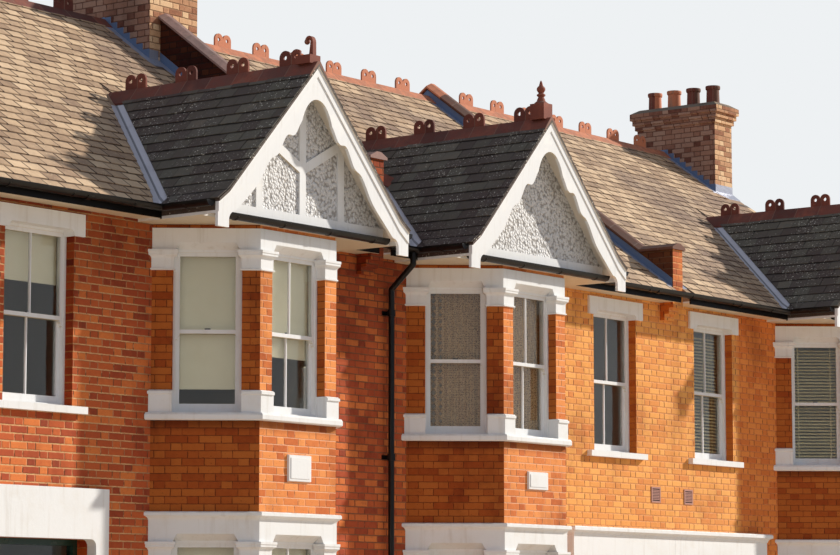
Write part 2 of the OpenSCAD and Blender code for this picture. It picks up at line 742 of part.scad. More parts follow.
// One slope of the main roof between two party walls. Over the last house it
// runs on across the end wall. The front slope is cut round the gable roof and
// the rafter feet are cut level over the soffit boards.
feet_z = eaves_z - 90;
module main_slope(h, front) {
    x1 = h == 2 ? party_x(3) + wall_t / 2 : room_x1(h);
    y0 = front ? -eaves_out : ridge_y;
    y1 = front ? ridge_y : house_d + eaves_out;
    difference() {
        translate([room_x0(h), 0, 0]) rotate([90, 0, 90]) linear_extrude(x1 - room_x0(h))
            polygon([[y0, roof_z(y0)], [y1, roof_z(y1)], [y1, roof_z(y1) - roof_drop],
                [y0, roof_z(y0) - roof_drop]]);
        if (front) under_gable(h, 0, -eaves_out - 1, gable_back + 1, below_z);
        if (h > 0) stack_space(h == 1 ? 1 : 3, breast_z, stack_z);
        for (y = [-eaves_out - 1, house_d])
            block([room_x0(h) - 1, y, below_z], [x1 + 1, y + eaves_out + 1, feet_z]);
    }
}
module roof_front() { color(slate_brown) for (h = houses) main_slope(h, true); }
module roof_rear() { color(slate_brown) for (h = houses) main_slope(h, false); }

// Gable roof over a bay: two slopes that run back into the main roof. At the
// front the slates alone run on over the bargeboards.
verge_out = 22;
verge_drop = 22 / cos(gable_pitch);
module gable_roof(h) {
    y1 = gable_back + 200;
    color(slate_dark) difference() {
        union() {
            under_gable(h, 0, -gable_out, y1, below_z);
            under_gable(h, 0, -gable_out - barge_t - verge_out, 0, below_z);
        }
        under_gable(h, gable_drop, -gable_out, y1 + 1, below_z - 1);
        under_gable(h, verge_drop, -gable_out - barge_t - verge_out - 1, -gable_out,
            below_z - 1);
        under_roof(roof_drop, bay_x(h) - gable_half - 1, bay_x(h) + gable_half + 1,
            0, house_d);
    }
}

// Rendered gable wall over the front face of the bay
tymp_t = 100;
ceiling_t = 22;
tymp_z = soffit_z + ceiling_t;
module gable_wall(h) {
    color("gainsboro") intersection() {
        under_gable(h, gable_drop, -bay_d, tymp_t - bay_d, below_z);
        block([bay_x(h) - gable_half + kick_w, -bay_d - 1, tymp_z],
            [bay_x(h) + gable_half - kick_w, tymp_t + 1 - bay_d, gable_ridge_z]);
    }
}

// Timbers on the face of the first gable, and a rail behind each front gutter
timber_t = 20;
rail_h = 145;
rail_half = gable_half - kick_w - 10;
module gable_timbers() {
    x = bay_x(0);
    post = 655;
    rise = tan(27);
    color(wood_white) {
        for (h = houses) block([bay_x(h) - rail_half, -bay_d - timber_t, tymp_z],
            [bay_x(h) + rail_half, -bay_d, tymp_z + rail_h]);
        intersection() {
            under_gable(0, gable_drop, -bay_d - timber_t, -bay_d, below_z);
            translate([x, -bay_d, 0]) rotate([90, 0, 0]) linear_extrude(timber_t) {
                for (c = [-post, 30, post]) translate([c - timber_w / 2, tymp_z + rail_h])
                    square([timber_w, gable_ridge_z - tymp_z]);
                for (s = [-1, 1]) polygon([for (p = [[0, 0], [post, 0], [post, 1], [0, 1]])
                    [s * p[0] + 30 * (1 - p[0] / post), tymp_z + 560 + p[0] * rise
                        + p[1] * timber_w / cos(27)]]);
            }
        }
    }
}

// Bargeboards. The lower edge is a tall round arch at the top, then smooth
// waves and an upright foot. Wave points are [distance from the middle, depth
// below the plain board], and a raised moulding follows the slates.
waves = [[240, 48], [345, 77], [490, 0], [612, 45], [735, 8], [930, 57], [1224, 33]];
arch_w = 265;
arch_h = 430;
arch_drop = 375;
foot_w = 165;
foot_r = 95;
foot_rise = 75;
strip_h = 70;
strip_t = 10;
function slate_z(x) = x < gable_half - kick_w ? gable_ridge_z - x * gable_slope
    : kick_z - (x - gable_half + kick_w) * slope;
function ease(a, b, t) = a + (b - a) * (1 - cos(180 * t)) / 2;
function low_edge() = [for (k = [0:len(waves) - 2], t = [0:0.2:0.8])
    [waves[k][0] + (waves[k + 1][0] - waves[k][0]) * t,
        barge_h + ease(waves[k][1], waves[k + 1][1], t)]];
function low_point(p) = [p[0], slate_z(p[0]) - p[1] / cos(gable_pitch)];
module barge(y0, t, low, drop) {
    right = concat(low, [[gable_half, gable_eaves_z - drop],
        [gable_half - kick_w, kick_z - drop], [0, gable_ridge_z - drop]]);
    translate([0, y0, 0]) rotate([90, 0, 0]) linear_extrude(t) polygon(concat(right,
        [for (k = [len(right) - 2:-1:1]) [-right[k][0], right[k][1]]]));
}
module bargeboards(h) {
    foot_z = gable_eaves_z - barge_foot;
    inner = gable_half - foot_w;
    edge = low_edge();
    board = concat([for (a = [0:10:60])
        [arch_w * sin(a), gable_ridge_z - arch_drop - arch_h * (1 - cos(a))]],
        [for (p = edge) low_point(p)],
        [for (a = [0:15:90]) [inner - foot_r * (1 - sin(a)),
            foot_z + foot_rise + foot_r * cos(a)]],
        [[inner, foot_z], [gable_half, foot_z]]);
    strip = strip_h / cos(gable_pitch) + verge_drop;
    color(wood_white) translate([bay_x(h), 0, 0]) {
        barge(-gable_out, barge_t, board, verge_drop);
        barge(-gable_out - barge_t, strip_t, [[0, gable_ridge_z - strip],
            [gable_half - kick_w, kick_z - strip],
            [gable_half, gable_eaves_z - strip]], verge_drop);
    }
}

// Ridge tiles: a saddle along each ridge and round-lobed crests on it
saddle_h = 28;
saddle_w = 150;
crest_step = 730;
lobe_r = 75;
lobe_z = 85;
crest_t = 24;
module crest() {
    translate([0, crest_t / 2, 0]) rotate([90, 0, 0]) linear_extrude(crest_t) difference() {
        for (s = [-1, 1]) {
            translate([s * lobe_r, lobe_z]) circle(r = lobe_r, $fn = 32);
            translate([(s - 1) * lobe_r, -saddle_h]) square([2 * lobe_r, saddle_h + lobe_z]);
        }
        for (s = [-1, 1]) translate([s * lobe_r, lobe_z]) circle(d = 48, $fn = 24);
    }
}
module saddle(l, pitch) {
    t = tan(pitch);
    rotate([90, 0, 90]) linear_extrude(l) polygon([[0, saddle_h],
        [-22, saddle_h - 4], [-saddle_w, 20 - saddle_w * t], [-saddle_w, -saddle_w * t],
        [0, 0], [saddle_w, -saddle_w * t], [saddle_w, 20 - saddle_w * t],
        [22, saddle_h - 4]]);
}
module ridge_run(l, pitch) {
    n = max(1, floor(l / crest_step));
    saddle(l, pitch);
    for (k = [0:n - 1]) translate([l / 2 + (k - (n - 1) / 2) * crest_step, 0, saddle_h])
        crest();
}
gable_front = gable_out + barge_t + verge_out;
module ridge_tiles() {
    color(clay_red) {
        for (h = houses) {
            x0 = h == 1 ? stack_x1(1) : room_x0(h);
            x1 = h == 0 ? min(room_x1(h), stack_x0(1)) : h == 2 ? stack_x0(3) : room_x1(h);
            translate([x0, ridge_y, ridge_z]) ridge_run(x1 - x0, roof_pitch);
            difference() {
                translate([bay_x(h), -gable_front, gable_ridge_z]) rotate(90)
                    ridge_run(gable_front + gable_back, gable_pitch);
                under_roof(0, bay_x(h) - gable_half, bay_x(h) + gable_half, 0, house_d);
                finial_space(h);
            }
        }
    }
}

// Finials: a horn that curls back on the first gable, turned spears on the
// other two, each on a block at the front end of the ridge
finial_l = 195;
finial_h = 165;
module finial_base() {
    translate([-85, 0, -20]) cube([170, finial_l, finial_h + 20]);
}
module spear() {
    finial_base();
    translate([0, finial_l / 2, finial_h]) rotate_extrude($fn = 32) polygon([[0, -10],
        [84, -10], [84, 0], [76, 14], [50, 34], [44, 60], [34, 76], [34, 88], [50, 96],
        [50, 112], [34, 120], [30, 132], [40, 146], [50, 164], [50, 182], [40, 200],
        [26, 212], [22, 224], [12, 262], [0, 280]]);
}
module scroll() {
    translate([-85, 0, -20]) cube([170, finial_l, 90]);
    curl = 42;
    neck = 210;
    centre = concat([for (t = [0:0.25:1]) [40 - 14 * t, neck * t, 64 - 32 * t]],
        [for (a = [20:20:160]) [26 + curl * (1 - cos(a)), neck + curl * 1.3 * sin(a),
            32 - a / 12]]);
    n = len(centre);
    function side(k, s) = let(a = centre[max(k - 1, 0)], b = centre[min(k + 1, n - 1)],
        d = norm([b[0] - a[0], b[1] - a[1]]), r = centre[k][2] / 2)
        [centre[k][0] - s * r * (b[1] - a[1]) / d, centre[k][1] + s * r * (b[0] - a[0]) / d];
    translate([-28, 0, 0]) rotate([90, 0, 90]) linear_extrude(56)
        polygon(concat([for (k = [0:n - 1]) side(k, 1)],
            [for (k = [n - 1:-1:0]) side(k, -1)]));
    translate([0, centre[n - 1][0], centre[n - 1][1] - 8]) sphere(r = 30, $fn = 24);
}
module finial_place(h) {
    translate([bay_x(h), 55 - gable_front, gable_ridge_z + saddle_h]) children();
}
module finial_space(h) { finial_place(h) finial_base(); }
module finials() {
    color(clay_red) for (h = houses) finial_place(h)
        if (h == 0) scroll(); else spear();
}

// Lead valleys between each gable roof and the main roof, and flashings where
// the roofs meet the parapets
lead_t = 8;
valley_w = 130;
upstand_h = 110;
apron_w = 150;
valley_side = valley_w * 1.2;
kick_y = (kick_z - eaves_z) / slope - eaves_out;
module valley_strip(h, s) {
    line = [[gable_half, -eaves_out - 1], [gable_half - kick_w, kick_y], [0, gable_back + 60]];
    translate([bay_x(h), 0, below_z]) linear_extrude(gable_ridge_z - below_z)
        polygon(concat([for (p = line) [s * (p[0] + valley_side), p[1]]],
            [for (k = [2:-1:0]) [s * (line[k][0] - valley_side), line[k][1]]]));
}
module valley(h) {
    x0 = bay_x(h) - gable_half - valley_side;
    x1 = bay_x(h) + gable_half + valley_side;
    intersection() {
        difference() {
            union() {
                under_roof(-lead_t, x0, x1, -eaves_out, ridge_y, below_z);
                under_gable(h, -lead_t, -eaves_out, gable_back + 100, below_z);
            }
            under_roof(0, x0 - 1, x1 + 1, -eaves_out - 1, ridge_y + 1);
            under_gable(h, 0, -eaves_out - 1, gable_back + 101, below_z - 1);
        }
        union() for (s = [-1, 1]) valley_strip(h, s);
        block([x0, -eaves_out, below_z], [x1, gable_back + 200,
            gable_ridge_z - saddle_w * gable_slope - 10]);
    }
}
// Lead in an L beside party wall i, on side s, over both slopes
module flashing(i, s) {
    x = party_x(i) + s * wall_t / 2;
    y0 = 10 - kneeler_out;
    y1 = house_d - y0;
    for (leg = [[lead_t, upstand_h], [apron_w, lead_t]])
        translate([s > 0 ? x : x - leg[0], 0, 0]) rotate([90, 0, 90])
            linear_extrude(leg[0]) polygon([[y0, roof_z(y0)], [ridge_y, ridge_z],
                [y1, roof_z(y1)], [y1, roof_z(y1) + leg[1]],
                [ridge_y, ridge_z + leg[1]], [y0, roof_z(y0) + leg[1]]]);
}
module leadwork() {
    color(lead_grey) {
        for (h = houses) valley(h);
        difference() {
            union() for (i = [0, 1, 2]) {
                if (i > 0) flashing(i, -1);
                flashing(i, 1);
            }
            stack_space(1, breast_z, stack_z);
            for (h = houses) translate([room_x0(h), ridge_y, ridge_z])
                saddle(room_x1(h) - room_x0(h), roof_pitch);
        }
    }
}

// Chimneys: a shaft over the party wall, a breast under the roof and three
// oversailing courses at the top
oversail = 28;
cap_share = 0.7;
module chimney(i) {
    x0 = stack_x0(i);
    x1 = stack_x1(i);
    y0 = stack_y0(i);
    y1 = stack_y1(i);
    color(brick_red) {
        stack_space(i, breast_z, stack_z);
        if (i == 1) block([party_x(1) + wall_t / 2, y0, 0], [x1, y1, breast_z]);
        else block([x0, y0, 0], [party_x(3) - wall_t / 2, y1, breast_z]);
        for (k = [1:3]) let(o = oversail * k)
            block([x0 - o, y0 - o, stack_z - (5 - k) * course_h],
                [x1 + o, y1 + o, stack_z - (k == 3 ? cap_share : 4 - k) * course_h]);
    }
}
pot_n = 4;
module pot() {
    r = pot_d / 2;
    rotate_extrude($fn = 32) polygon([[r - 22, 0], [r + 6, 0], [r + 6, 30], [r - 4, 40],
        [r - 10, pot_h - 60], [r + 4, pot_h - 50], [r + 8, pot_h - 20],
        [r + 4, pot_h], [r - 18, pot_h]]);
}
module chimney_pots() {
    color(clay_red) for (i = [1, 3]) for (k = [0:pot_n - 1])
        translate([(stack_x0(i) + stack_x1(i)) / 2,
            stack_y0(i) + (stack_y1(i) - stack_y0(i)) * (k + 0.5) / pot_n, stack_z]) pot();
}

// Half round gutters. On the front they run along the main eaves and turn
// forward along the side eaves of each gable, and a short one lies across the
// foot of each gable wall.
gutter_r = 62;
gutter_t = 5;
gutter_z = eaves_z - 10;
fascia_t = 22;
seat = 0.3;
gutter_y = -eaves_out - fascia_t - gutter_r - seat;
side_x = gable_half + gutter_r + seat;
module gutter(l) {
    rotate([90, 0, 90]) linear_extrude(l) difference() {
        circle(r = gutter_r, $fn = 32);
        circle(r = gutter_r - gutter_t, $fn = 32);
        translate([-gutter_r - 1, 0]) square([2 * gutter_r + 2, gutter_r + 1]);
    }
}
module gutter_end() {
    rotate([90, 0, 90]) linear_extrude(gutter_t) difference() {
        circle(r = gutter_r, $fn = 32);
        translate([-gutter_r - 1, 0]) square([2 * gutter_r + 2, gutter_r + 1]);
    }
}
// Main eaves gutter from x0 to x1, mitred where m0 or m1 is 1
module main_gutter(x0, x1, m0, m1) {
    r = gutter_r * 1.5;
    intersection() {
        translate([x0 - m0 * r, gutter_y, gutter_z]) gutter(x1 - x0 + (m0 + m1) * r);
        translate([0, 0, gutter_z - r]) linear_extrude(2 * r)
            polygon([[x0 - m0 * r, gutter_y + r], [x0 + m0 * r, gutter_y - r],
                [x1 - m1 * r, gutter_y - r], [x1 + m1 * r, gutter_y + r]]);
    }
    if (m0 == 0) translate([x0, gutter_y, gutter_z]) gutter_end();
    if (m1 == 0) translate([x1 - gutter_t, gutter_y, gutter_z]) gutter_end();
}
module side_gutter(x, s) {
    r = gutter_r * 1.5;
    l = gable_out + gutter_y;
    intersection() {
        translate([x, -gable_out, gutter_z]) rotate(90) gutter(l + r);
        translate([0, 0, gutter_z - r]) linear_extrude(2 * r)
            polygon([[x - s * r, gutter_y + r], [x + s * r, gutter_y - r],
                [x + s * r, -gable_out], [x - s * r, -gable_out]]);
    }
    translate([x, -gable_out, gutter_z]) rotate(90) gutter_end();
}
module gutters() {
    end0 = party_x(0) - wall_t / 2;
    end1 = party_x(3) + wall_t / 2;
    front_w = 2 * rail_half - 60;
    color(iron_black) {
        for (k = [0:3]) main_gutter(k == 0 ? end0 : bay_x(k - 1) + side_x,
            k == 3 ? end1 : bay_x(k) - side_x, k == 0 ? 0 : 1, k == 3 ? 0 : 1);
        for (h = houses) for (s = [-1, 1]) side_gutter(bay_x(h) + s * side_x, s);
        translate([0, house_d, 0]) mirror([0, 1, 0]) main_gutter(end0, end1, 0, 0);
        for (h = houses) translate([bay_x(h) - front_w / 2,
            -bay_d - timber_t - gutter_r - seat, tymp_z + 28]) {
            gutter(front_w);
            gutter_end();
            translate([front_w - gutter_t, 0, 0]) gutter_end();
        }
    }
}

pipe_d = 68;
pipe_x = party_x(1) + 410;
pipe_y = -80;
neck_z = eaves_z - 460;
neck_rise = 260;
module pipe_run(a, b) {
    d = b - a;
    l = norm(d);
    translate(a) rotate([0, acos(d[2] / l), atan2(d[1], d[0])])
        cylinder(d = pipe_d, h = l, $fn = 32);
}
module downpipe() {
    outlet = [pipe_x, gutter_y, gutter_z - gutter_r - seat];
    foot = [pipe_x, pipe_y, 0];
    neck = [pipe_x, pipe_y, neck_z];
    bend = [pipe_x, gutter_y, neck_z + neck_rise];
    color(iron_black) {
        pipe_run(foot, neck);
        pipe_run(neck, bend);
        pipe_run(bend, outlet);
        translate(neck) sphere(d = pipe_d, $fn = 32);
        translate(bend) sphere(d = pipe_d, $fn = 32);
        for (z = [600:1600:neck_z]) {
            translate([pipe_x, pipe_y, z]) cylinder(d = pipe_d + 22, h = 70, $fn = 32);
            block([pipe_x - 75, -14 - seat, z + 12], [pipe_x + 75, -seat, z + 58]);
            block([pipe_x - 20, pipe_y, z + 12], [pipe_x + 20, -seat, z + 58]);
        }
    }
}

// Boards under the eaves between the party walls: a fascia behind the gutter
// and a soffit back to the wall. A third soffit covers the bay under its gable.
board_t = 20;
module eaves_board(x0, x1) {
    translate([x0, 0, 0]) rotate([90, 0, 90]) linear_extrude(x1 - x0)
        polygon([[-eaves_out - fascia_t, feet_z - 40], [-eaves_out, feet_z - 40],
            [-eaves_out, feet_z - board_t], [0, feet_z - board_t], [0, feet_z],
            [-eaves_out, feet_z], [-eaves_out, feet_z + 85],
            [-eaves_out - fascia_t, feet_z + 85]]);
}
module gable_soffit(h) {
    block([bay_x(h) - gable_half, -bay_d, soffit_z], [bay_x(h) + gable_half, 0, tymp_z]);
    for (s = [-1, 1]) intersection() {
        under_gable(h, gable_drop, -gable_out, 0, below_z);
        block([bay_x(h) + s * gable_half - board_t, -gable_out, soffit_z],
            [bay_x(h) + s * gable_half + board_t, 0, gable_eaves_z]);
    }
}
module eaves_boards() {
    end1 = party_x(3) + wall_t / 2;
    color(wood_white) for (h = houses) {
        x1 = h == 2 ? end1 : room_x1(h);
        eaves_board(room_x0(h), bay_x(h) - gable_half);
        eaves_board(bay_x(h) + gable_half, x1);
        gable_soffit(h);
        translate([0, house_d, 0]) mirror([0, 1, 0]) eaves_board(room_x0(h), x1);
    }
}

party_wall(0);  // party_wall_1
party_wall(1);  // party_wall_2
party_wall(2);  // party_wall_3
party_wall(3);  // party_wall_4
front_wall(0);  // front_wall_1
front_wall(1);  // front_wall_2
front_wall(2);  // front_wall_3
rear_wall();
ground_floor();
upper_floor();
bay_brick(0);  // bay_brick_1
bay_brick(1);  // bay_brick_2
bay_brick(2);  // bay_brick_3
bay_brick_tops();
bay_stone(0);  // bay_stone_1
bay_stone(1);  // bay_stone_2
bay_stone(2);  // bay_stone_3
bay_windows(0);  // bay_windows_1
bay_windows(1);  // bay_windows_2
bay_windows(2);  // bay_windows_3
front_windows();
rear_windows();
glass_ground();
glass_upper();
window_lintels();
window_sills();
porch_left();
porch_middle();
front_doors();
rear_doors();
roof_front();
roof_rear();
gable_wall(0);  // gable_wall_1
gable_wall(1);  // gable_wall_2
gable_wall(2);  // gable_wall_3
gable_timbers();
bargeboards(0);  // bargeboards_1
bargeboards(1);  // bargeboards_2
bargeboards(2);  // bargeboards_3
gable_roof(0);  // gable_roof_1
gable_roof(1);  // gable_roof_2
gable_roof(2);  // gable_roof_3
ridge_tiles();
finials();
leadwork();
parapet_coping();
chimney(1);  // chimney_1
chimney(3);  // chimney_2
chimney_pots();
gutters();
downpipe();
eaves_boards();
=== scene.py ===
"""A row of three brick terraced houses with canted bays under rendered gables.
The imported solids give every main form, and this script gives them their bricks,
slates, paint, lead and glass, and hangs what is too fine for the solids.
"""
import math
from functools import reduce

import bmesh
import bpy
from mathutils import Matrix, Vector


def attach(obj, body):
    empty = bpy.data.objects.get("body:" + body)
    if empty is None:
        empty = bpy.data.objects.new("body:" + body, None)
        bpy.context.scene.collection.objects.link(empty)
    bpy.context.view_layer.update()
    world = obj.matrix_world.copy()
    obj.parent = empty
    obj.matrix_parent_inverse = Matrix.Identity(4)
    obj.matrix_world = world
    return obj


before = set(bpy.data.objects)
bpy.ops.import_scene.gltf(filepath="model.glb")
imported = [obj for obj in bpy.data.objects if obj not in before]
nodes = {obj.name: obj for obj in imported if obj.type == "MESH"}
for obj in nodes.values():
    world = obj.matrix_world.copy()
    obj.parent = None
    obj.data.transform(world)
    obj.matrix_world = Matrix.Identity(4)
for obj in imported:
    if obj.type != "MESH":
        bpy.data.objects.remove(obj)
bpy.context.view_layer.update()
scene = bpy.context.scene

# The place to look from: the pavement to the left of the row, with a long lens
# turned up to the upper storeys, as in the photograph. The floor is plain.
eye = (-27.907, -19.804, 2.013)
eye_turn = (math.radians(96.804), 0.0, math.radians(-52.561))
lens_mm, sensor_mm, sees_to = 124.27, 36.0, 400.0
floor_half, floor_drop = 90.0, 0.002
sky_light, sun_strength = 0.42, 4.9
sun_way = (2.1, -1.0, 1.2)
sun_spread = math.radians(1.5)
sun_tint = (1.0, 0.93, 0.83)


def colour(red, green, blue):
    """A colour given in 0 to 255 as Blender's own linear colour."""
    levels = [c / 255 for c in (red, green, blue)]
    return (*[c / 12.92 if c < 0.04 else ((c + 0.055) / 1.055) ** 2.4 for c in levels], 1.0)


def put(name, data):
    """A new object in the scene that holds this data."""
    made = bpy.data.objects.new(name, data)
    scene.collection.objects.link(made)
    return made


class Value:
    """A number, place or colour inside a node tree, so that sums are written as sums."""

    def __init__(self, socket):
        self.socket, self.tree = socket, socket.id_data

    def to(self, operation, *others):
        return flow(self.tree, "ShaderNodeMath", dict(enumerate((self, *others))),
                    operation=operation)

    def __add__(self, other): return self.to("ADD", other)
    def __sub__(self, other): return self.to("SUBTRACT", other)
    def __mul__(self, other): return self.to("MULTIPLY", other)
    def __truediv__(self, other): return self.to("DIVIDE", other)
    def least(self, other): return self.to("MINIMUM", other)
    def most(self, other): return self.to("MAXIMUM", other)
    def over(self, other): return self.to("GREATER_THAN", other)
    def under(self, other): return self.to("LESS_THAN", other)
    def size(self): return self.to("ABSOLUTE")
    def floor(self): return self.to("FLOOR")
    def rest(self): return self * -1.0 + 1.0


def wire(value, socket):
    """Links a value to a socket, or sets the socket to a plain one."""
    if isinstance(value, Value):
        value.tree.links.new(value.socket, socket)
    else:
        socket.default_value = value


def node(tree, kind, inputs=None, **settings):
    """A new node with its settings made and its inputs wired."""
    made = tree.nodes.new(kind)
    for name, value in settings.items():
        setattr(made, name, value)
    for key, value in (inputs or {}).items():
        wire(value, made.inputs[key])
    return made


def flow(tree, kind, inputs=None, output=0, **settings):
    """One output of a new node."""
    return Value(node(tree, kind, inputs, **settings).outputs[output])


def mix(share, first, second, way="MIX"):
    """A colour between two others, each a value or three numbers in 0 to 255."""
    first, second = [c if isinstance(c, Value) else colour(*c) for c in (first, second)]
    return flow(share.tree, "ShaderNodeMix", {0: share, 6: first, 7: second}, 2,
                data_type="RGBA", blend_type=way)


class Surface:
    """A material in the making, with its tree and its shader."""

    def __init__(self, name, rough=0.5, shine=0.5, **plain):
        self.made = bpy.data.materials.new(name)
        self.made.use_nodes = True
        self.tree = self.made.node_tree
        self.shader = self.tree.nodes["Principled BSDF"]
        for label, value in {"Roughness": rough, "Specular IOR Level": shine, **plain}.items():
            self.shader.inputs[label].default_value = value


camera = bpy.data.cameras.new("street_view")
camera.sensor_width = sensor_mm
camera.lens = lens_mm
camera.clip_end = sees_to
looker = put("street_view", camera)
looker.location = eye
looker.rotation_euler = eye_turn
scene.camera = looker

world = bpy.data.worlds.new("sky")
world.use_nodes = True
scene.world = world
sky = world.node_tree
rays = node(sky, "ShaderNodeLightPath").outputs
seen = Value(rays["Is Camera Ray"]).most(Value(rays["Is Transmission Ray"]))
backdrop, daylight = [
    flow(sky, "ShaderNodeBackground", {"Color": shade, "Strength": strength})
    for shade, strength in ((colour(238, 241, 243), 1.0), (colour(226, 236, 255), sky_light))]
wire(flow(sky, "ShaderNodeMixShader", {0: seen, 1: daylight, 2: backdrop}),
     sky.nodes["World Output"].inputs[0])

sun = bpy.data.lights.new("low_sun", "SUN")
sun.energy = sun_strength
sun.angle = sun_spread
sun.color = sun_tint
lamp = put("low_sun", sun)
lamp.rotation_euler = Vector(sun_way).to_track_quat("Z", "Y").to_euler()

scene.view_settings.view_transform = "Standard"

floor_mesh = bpy.data.meshes.new("floor")
floor_mesh.from_pydata([(x * floor_half, y * floor_half, -floor_drop)
                        for x, y in ((-1, -1), (1, -1), (1, 1), (-1, 1))], [], [(0, 1, 2, 3)])
on = Surface("pale_floor", rough=0.9)
to_camera = flow(on.tree, "ShaderNodeLightPath", output="Is Camera Ray")
wire(mix(to_camera, (210, 192, 168), (220, 219, 216)), on.shader.inputs["Base Color"])
floor_mesh.materials.append(on.made)
put("floor", floor_mesh)

# The brick walls: orange-red facing bricks in Flemish bond with pale lime
# mortar. Party walls, house fronts, bays and the rear are one brickwork, and
# the sides that face a room are plastered.
bay_xs = (-5.1745, -0.9785, 7.1315)
party_xs = (-9.2295, -3.0765, 3.0765, 9.2295)
row_w, house_d, wall_t = 18.8, 7.4, 0.225
course_h, stretcher_l, header_l, joint_w = 0.0762, 0.225, 0.1125, 0.010
joint_soft, wander = 0.0012, 0.010
bay_half, bay_depth, cant = 1.3155, 0.834, math.radians(49.67)
ridge_y, ridge_z, roof_slope = 3.7, 9.098, 0.7346
wall_lining, bay_lining, roof_lining, bow_end, room_end = 0.2, 0.19, 0.1, 0.25, 9.3
sill_z, eaves_shade_z = 4.2, (4.7, 6.0)
third_bay_x, front_y = (4.76, 4.92), (0.4, 0.8)
plaster = (205, 200, 188)


def new_tree(name, sort, ins, outs, form="Float"):
    """A node tree with named inputs and outputs; gives it, its inputs and its end."""
    tree = bpy.data.node_groups.new(name, sort)
    for label, value in ins.items():
        kind = {tuple: "Vector", int: "Int", float: "Float"}.get(type(value), value)
        socket = tree.interface.new_socket(
            label, in_out="INPUT", socket_type=f"NodeSocket{kind}")
        if not isinstance(value, str):
            socket.default_value = value
    for label in outs:
        tree.interface.new_socket(label, in_out="OUTPUT", socket_type=f"NodeSocket{form}")
    start, end = tree.nodes.new("NodeGroupInput"), tree.nodes.new("NodeGroupOutput")
    return tree, {label: Value(start.outputs[label]) for label in ins}, end.inputs


def parts(place):
    """The three numbers of a vector."""
    return [Value(s) for s in node(place.tree, "ShaderNodeSeparateXYZ", {0: place}).outputs]


def vector(*three):
    """A vector of three numbers, one of them at least from the tree."""
    tree = next(number.tree for number in three if isinstance(number, Value))
    return flow(tree, "ShaderNodeCombineXYZ", dict(enumerate(three)))


def ease(value, low, high, start=0.0, end=1.0):
    """A soft step from start at low to end at high."""
    return flow(value.tree, "ShaderNodeMapRange",
                {0: value, 1: low, 2: high, 3: start, 4: end}, interpolation_type="SMOOTHSTEP")


def ramp(value, stops):
    """A colour read off a row of them: each stop is a place and a colour in 0 to 255."""
    made = node(value.tree, "ShaderNodeValToRGB", {0: value})
    row = made.color_ramp.elements
    while len(row) < len(stops):
        row.new(0.5)
    for element, (place, *shade) in zip(row, stops):
        element.position, element.color = place, colour(*shade)
    return Value(made.outputs[0])


def noise(place, scale, detail=3.0, rough=0.55):
    return flow(place.tree, "ShaderNodeTexNoise", {
        "Vector": place, "Scale": scale, "Detail": detail, "Roughness": rough})


def chance(place):
    """A random number that stays the same at one place."""
    return flow(place.tree, "ShaderNodeTexWhiteNoise", {"Vector": place}, "Value")


def stretch(place, scale):
    """A place with each of its lengths multiplied."""
    return flow(place.tree, "ShaderNodeVectorMath", {0: place, 1: scale}, operation="MULTIPLY")


def nearest(value, middles):
    """How far a number lies from the nearest of these."""
    return reduce(Value.least, [(value - middle).size() for middle in middles])


def coats(face, *layers):
    """A colour with coats over it: each a share, its colour and the way it is laid."""
    for share, *rest in layers:
        face = mix(share, face, *rest)
    return face


def whereabouts(tree):
    """Object coordinates and the way that the surface faces."""
    return (flow(tree, "ShaderNodeTexCoord", output="Object"),
            flow(tree, "ShaderNodeNewGeometry", output="Normal"))


def lay(on, face, height, depth, strength, rough=None):
    """Wires a surface's colour, relief of a depth in metres and roughness; gives the material."""
    bump = flow(on.tree, "ShaderNodeBump",
                {"Strength": strength, "Distance": depth, "Height": height})
    for label, value in (("Base Color", face), ("Normal", bump), ("Roughness", rough)):
        if value is not None:
            wire(value, on.shader.inputs[label])
    return on.made


# Flemish bond, laid along whichever way the wall faces
bond, given, end = new_tree("flemish_bond", "ShaderNodeTree", {
    "Place": (0.0, 0.0, 0.0), "Facing": (0.0, 0.0, 1.0), "Course": course_h,
    "Stretcher": stretcher_l, "Header": header_l, "Joint": joint_w},
    ("Brick", "Tone", "Upright Joint", "Height"))
x, y, z = parts(given["Place"])
nx, ny, nz = parts(given["Facing"])
flat = nz.size().over(0.7)
wobble = (noise(given["Place"], 26.0) - 0.5) * wander
along = (nx * y - ny * x) * flat.rest() + x * flat + wobble
up = z * flat.rest() + y * flat + wobble
row = (up / given["Course"]).floor()
in_row = up - row * given["Course"]
period = given["Stretcher"] + given["Header"]
shifted = along + row.to("FLOORED_MODULO", 2.0) * period * 0.5
cell = (shifted / period).floor()
local = shifted - cell * period
is_header = local.over(given["Stretcher"])
local = local - is_header * given["Stretcher"]
length = given["Stretcher"] + is_header * (given["Header"] - given["Stretcher"])
to_end = local.least(length - local)
to_bed = in_row.least(given["Course"] - in_row)
edge = to_end.least(to_bed)
half_joint = given["Joint"] * 0.5
wire(ease(edge, half_joint - joint_soft, half_joint + joint_soft), end["Brick"])
wire(chance(vector(cell * 2.0 + is_header, row, nx.to("ROUND") * 7.0)), end["Tone"])
wire(to_bed.over(to_end), end["Upright Joint"])
wire(ease(edge, half_joint - 0.003, half_joint + 0.006), end["Height"])

# The mask of what faces a room: between the outer walls under the roof, and
# inside the brick skin of each bay
rooms, given, end = new_tree(
    "room_side", "ShaderNodeTree", {"Place": (0.0, 0.0, 0.0)}, ("Inside",))
x, y, z = parts(given["Place"])
below_roof = (y - ridge_y).size() * -roof_slope + (ridge_z - roof_lining) - z
hall = (y - wall_lining).least(y * -1.0 + (house_d - wall_lining)).least(
    x.size() * -1.0 + room_end).least(below_roof)
skin = (nearest(x, bay_xs) * -1.0 + bay_half) * math.sin(cant) + y * math.cos(cant) - bay_lining
bow = skin.least(y + (bay_depth - bay_lining)).least(y * -1.0 + bow_end)
wire(hall.most(bow).over(0.0), end["Inside"])


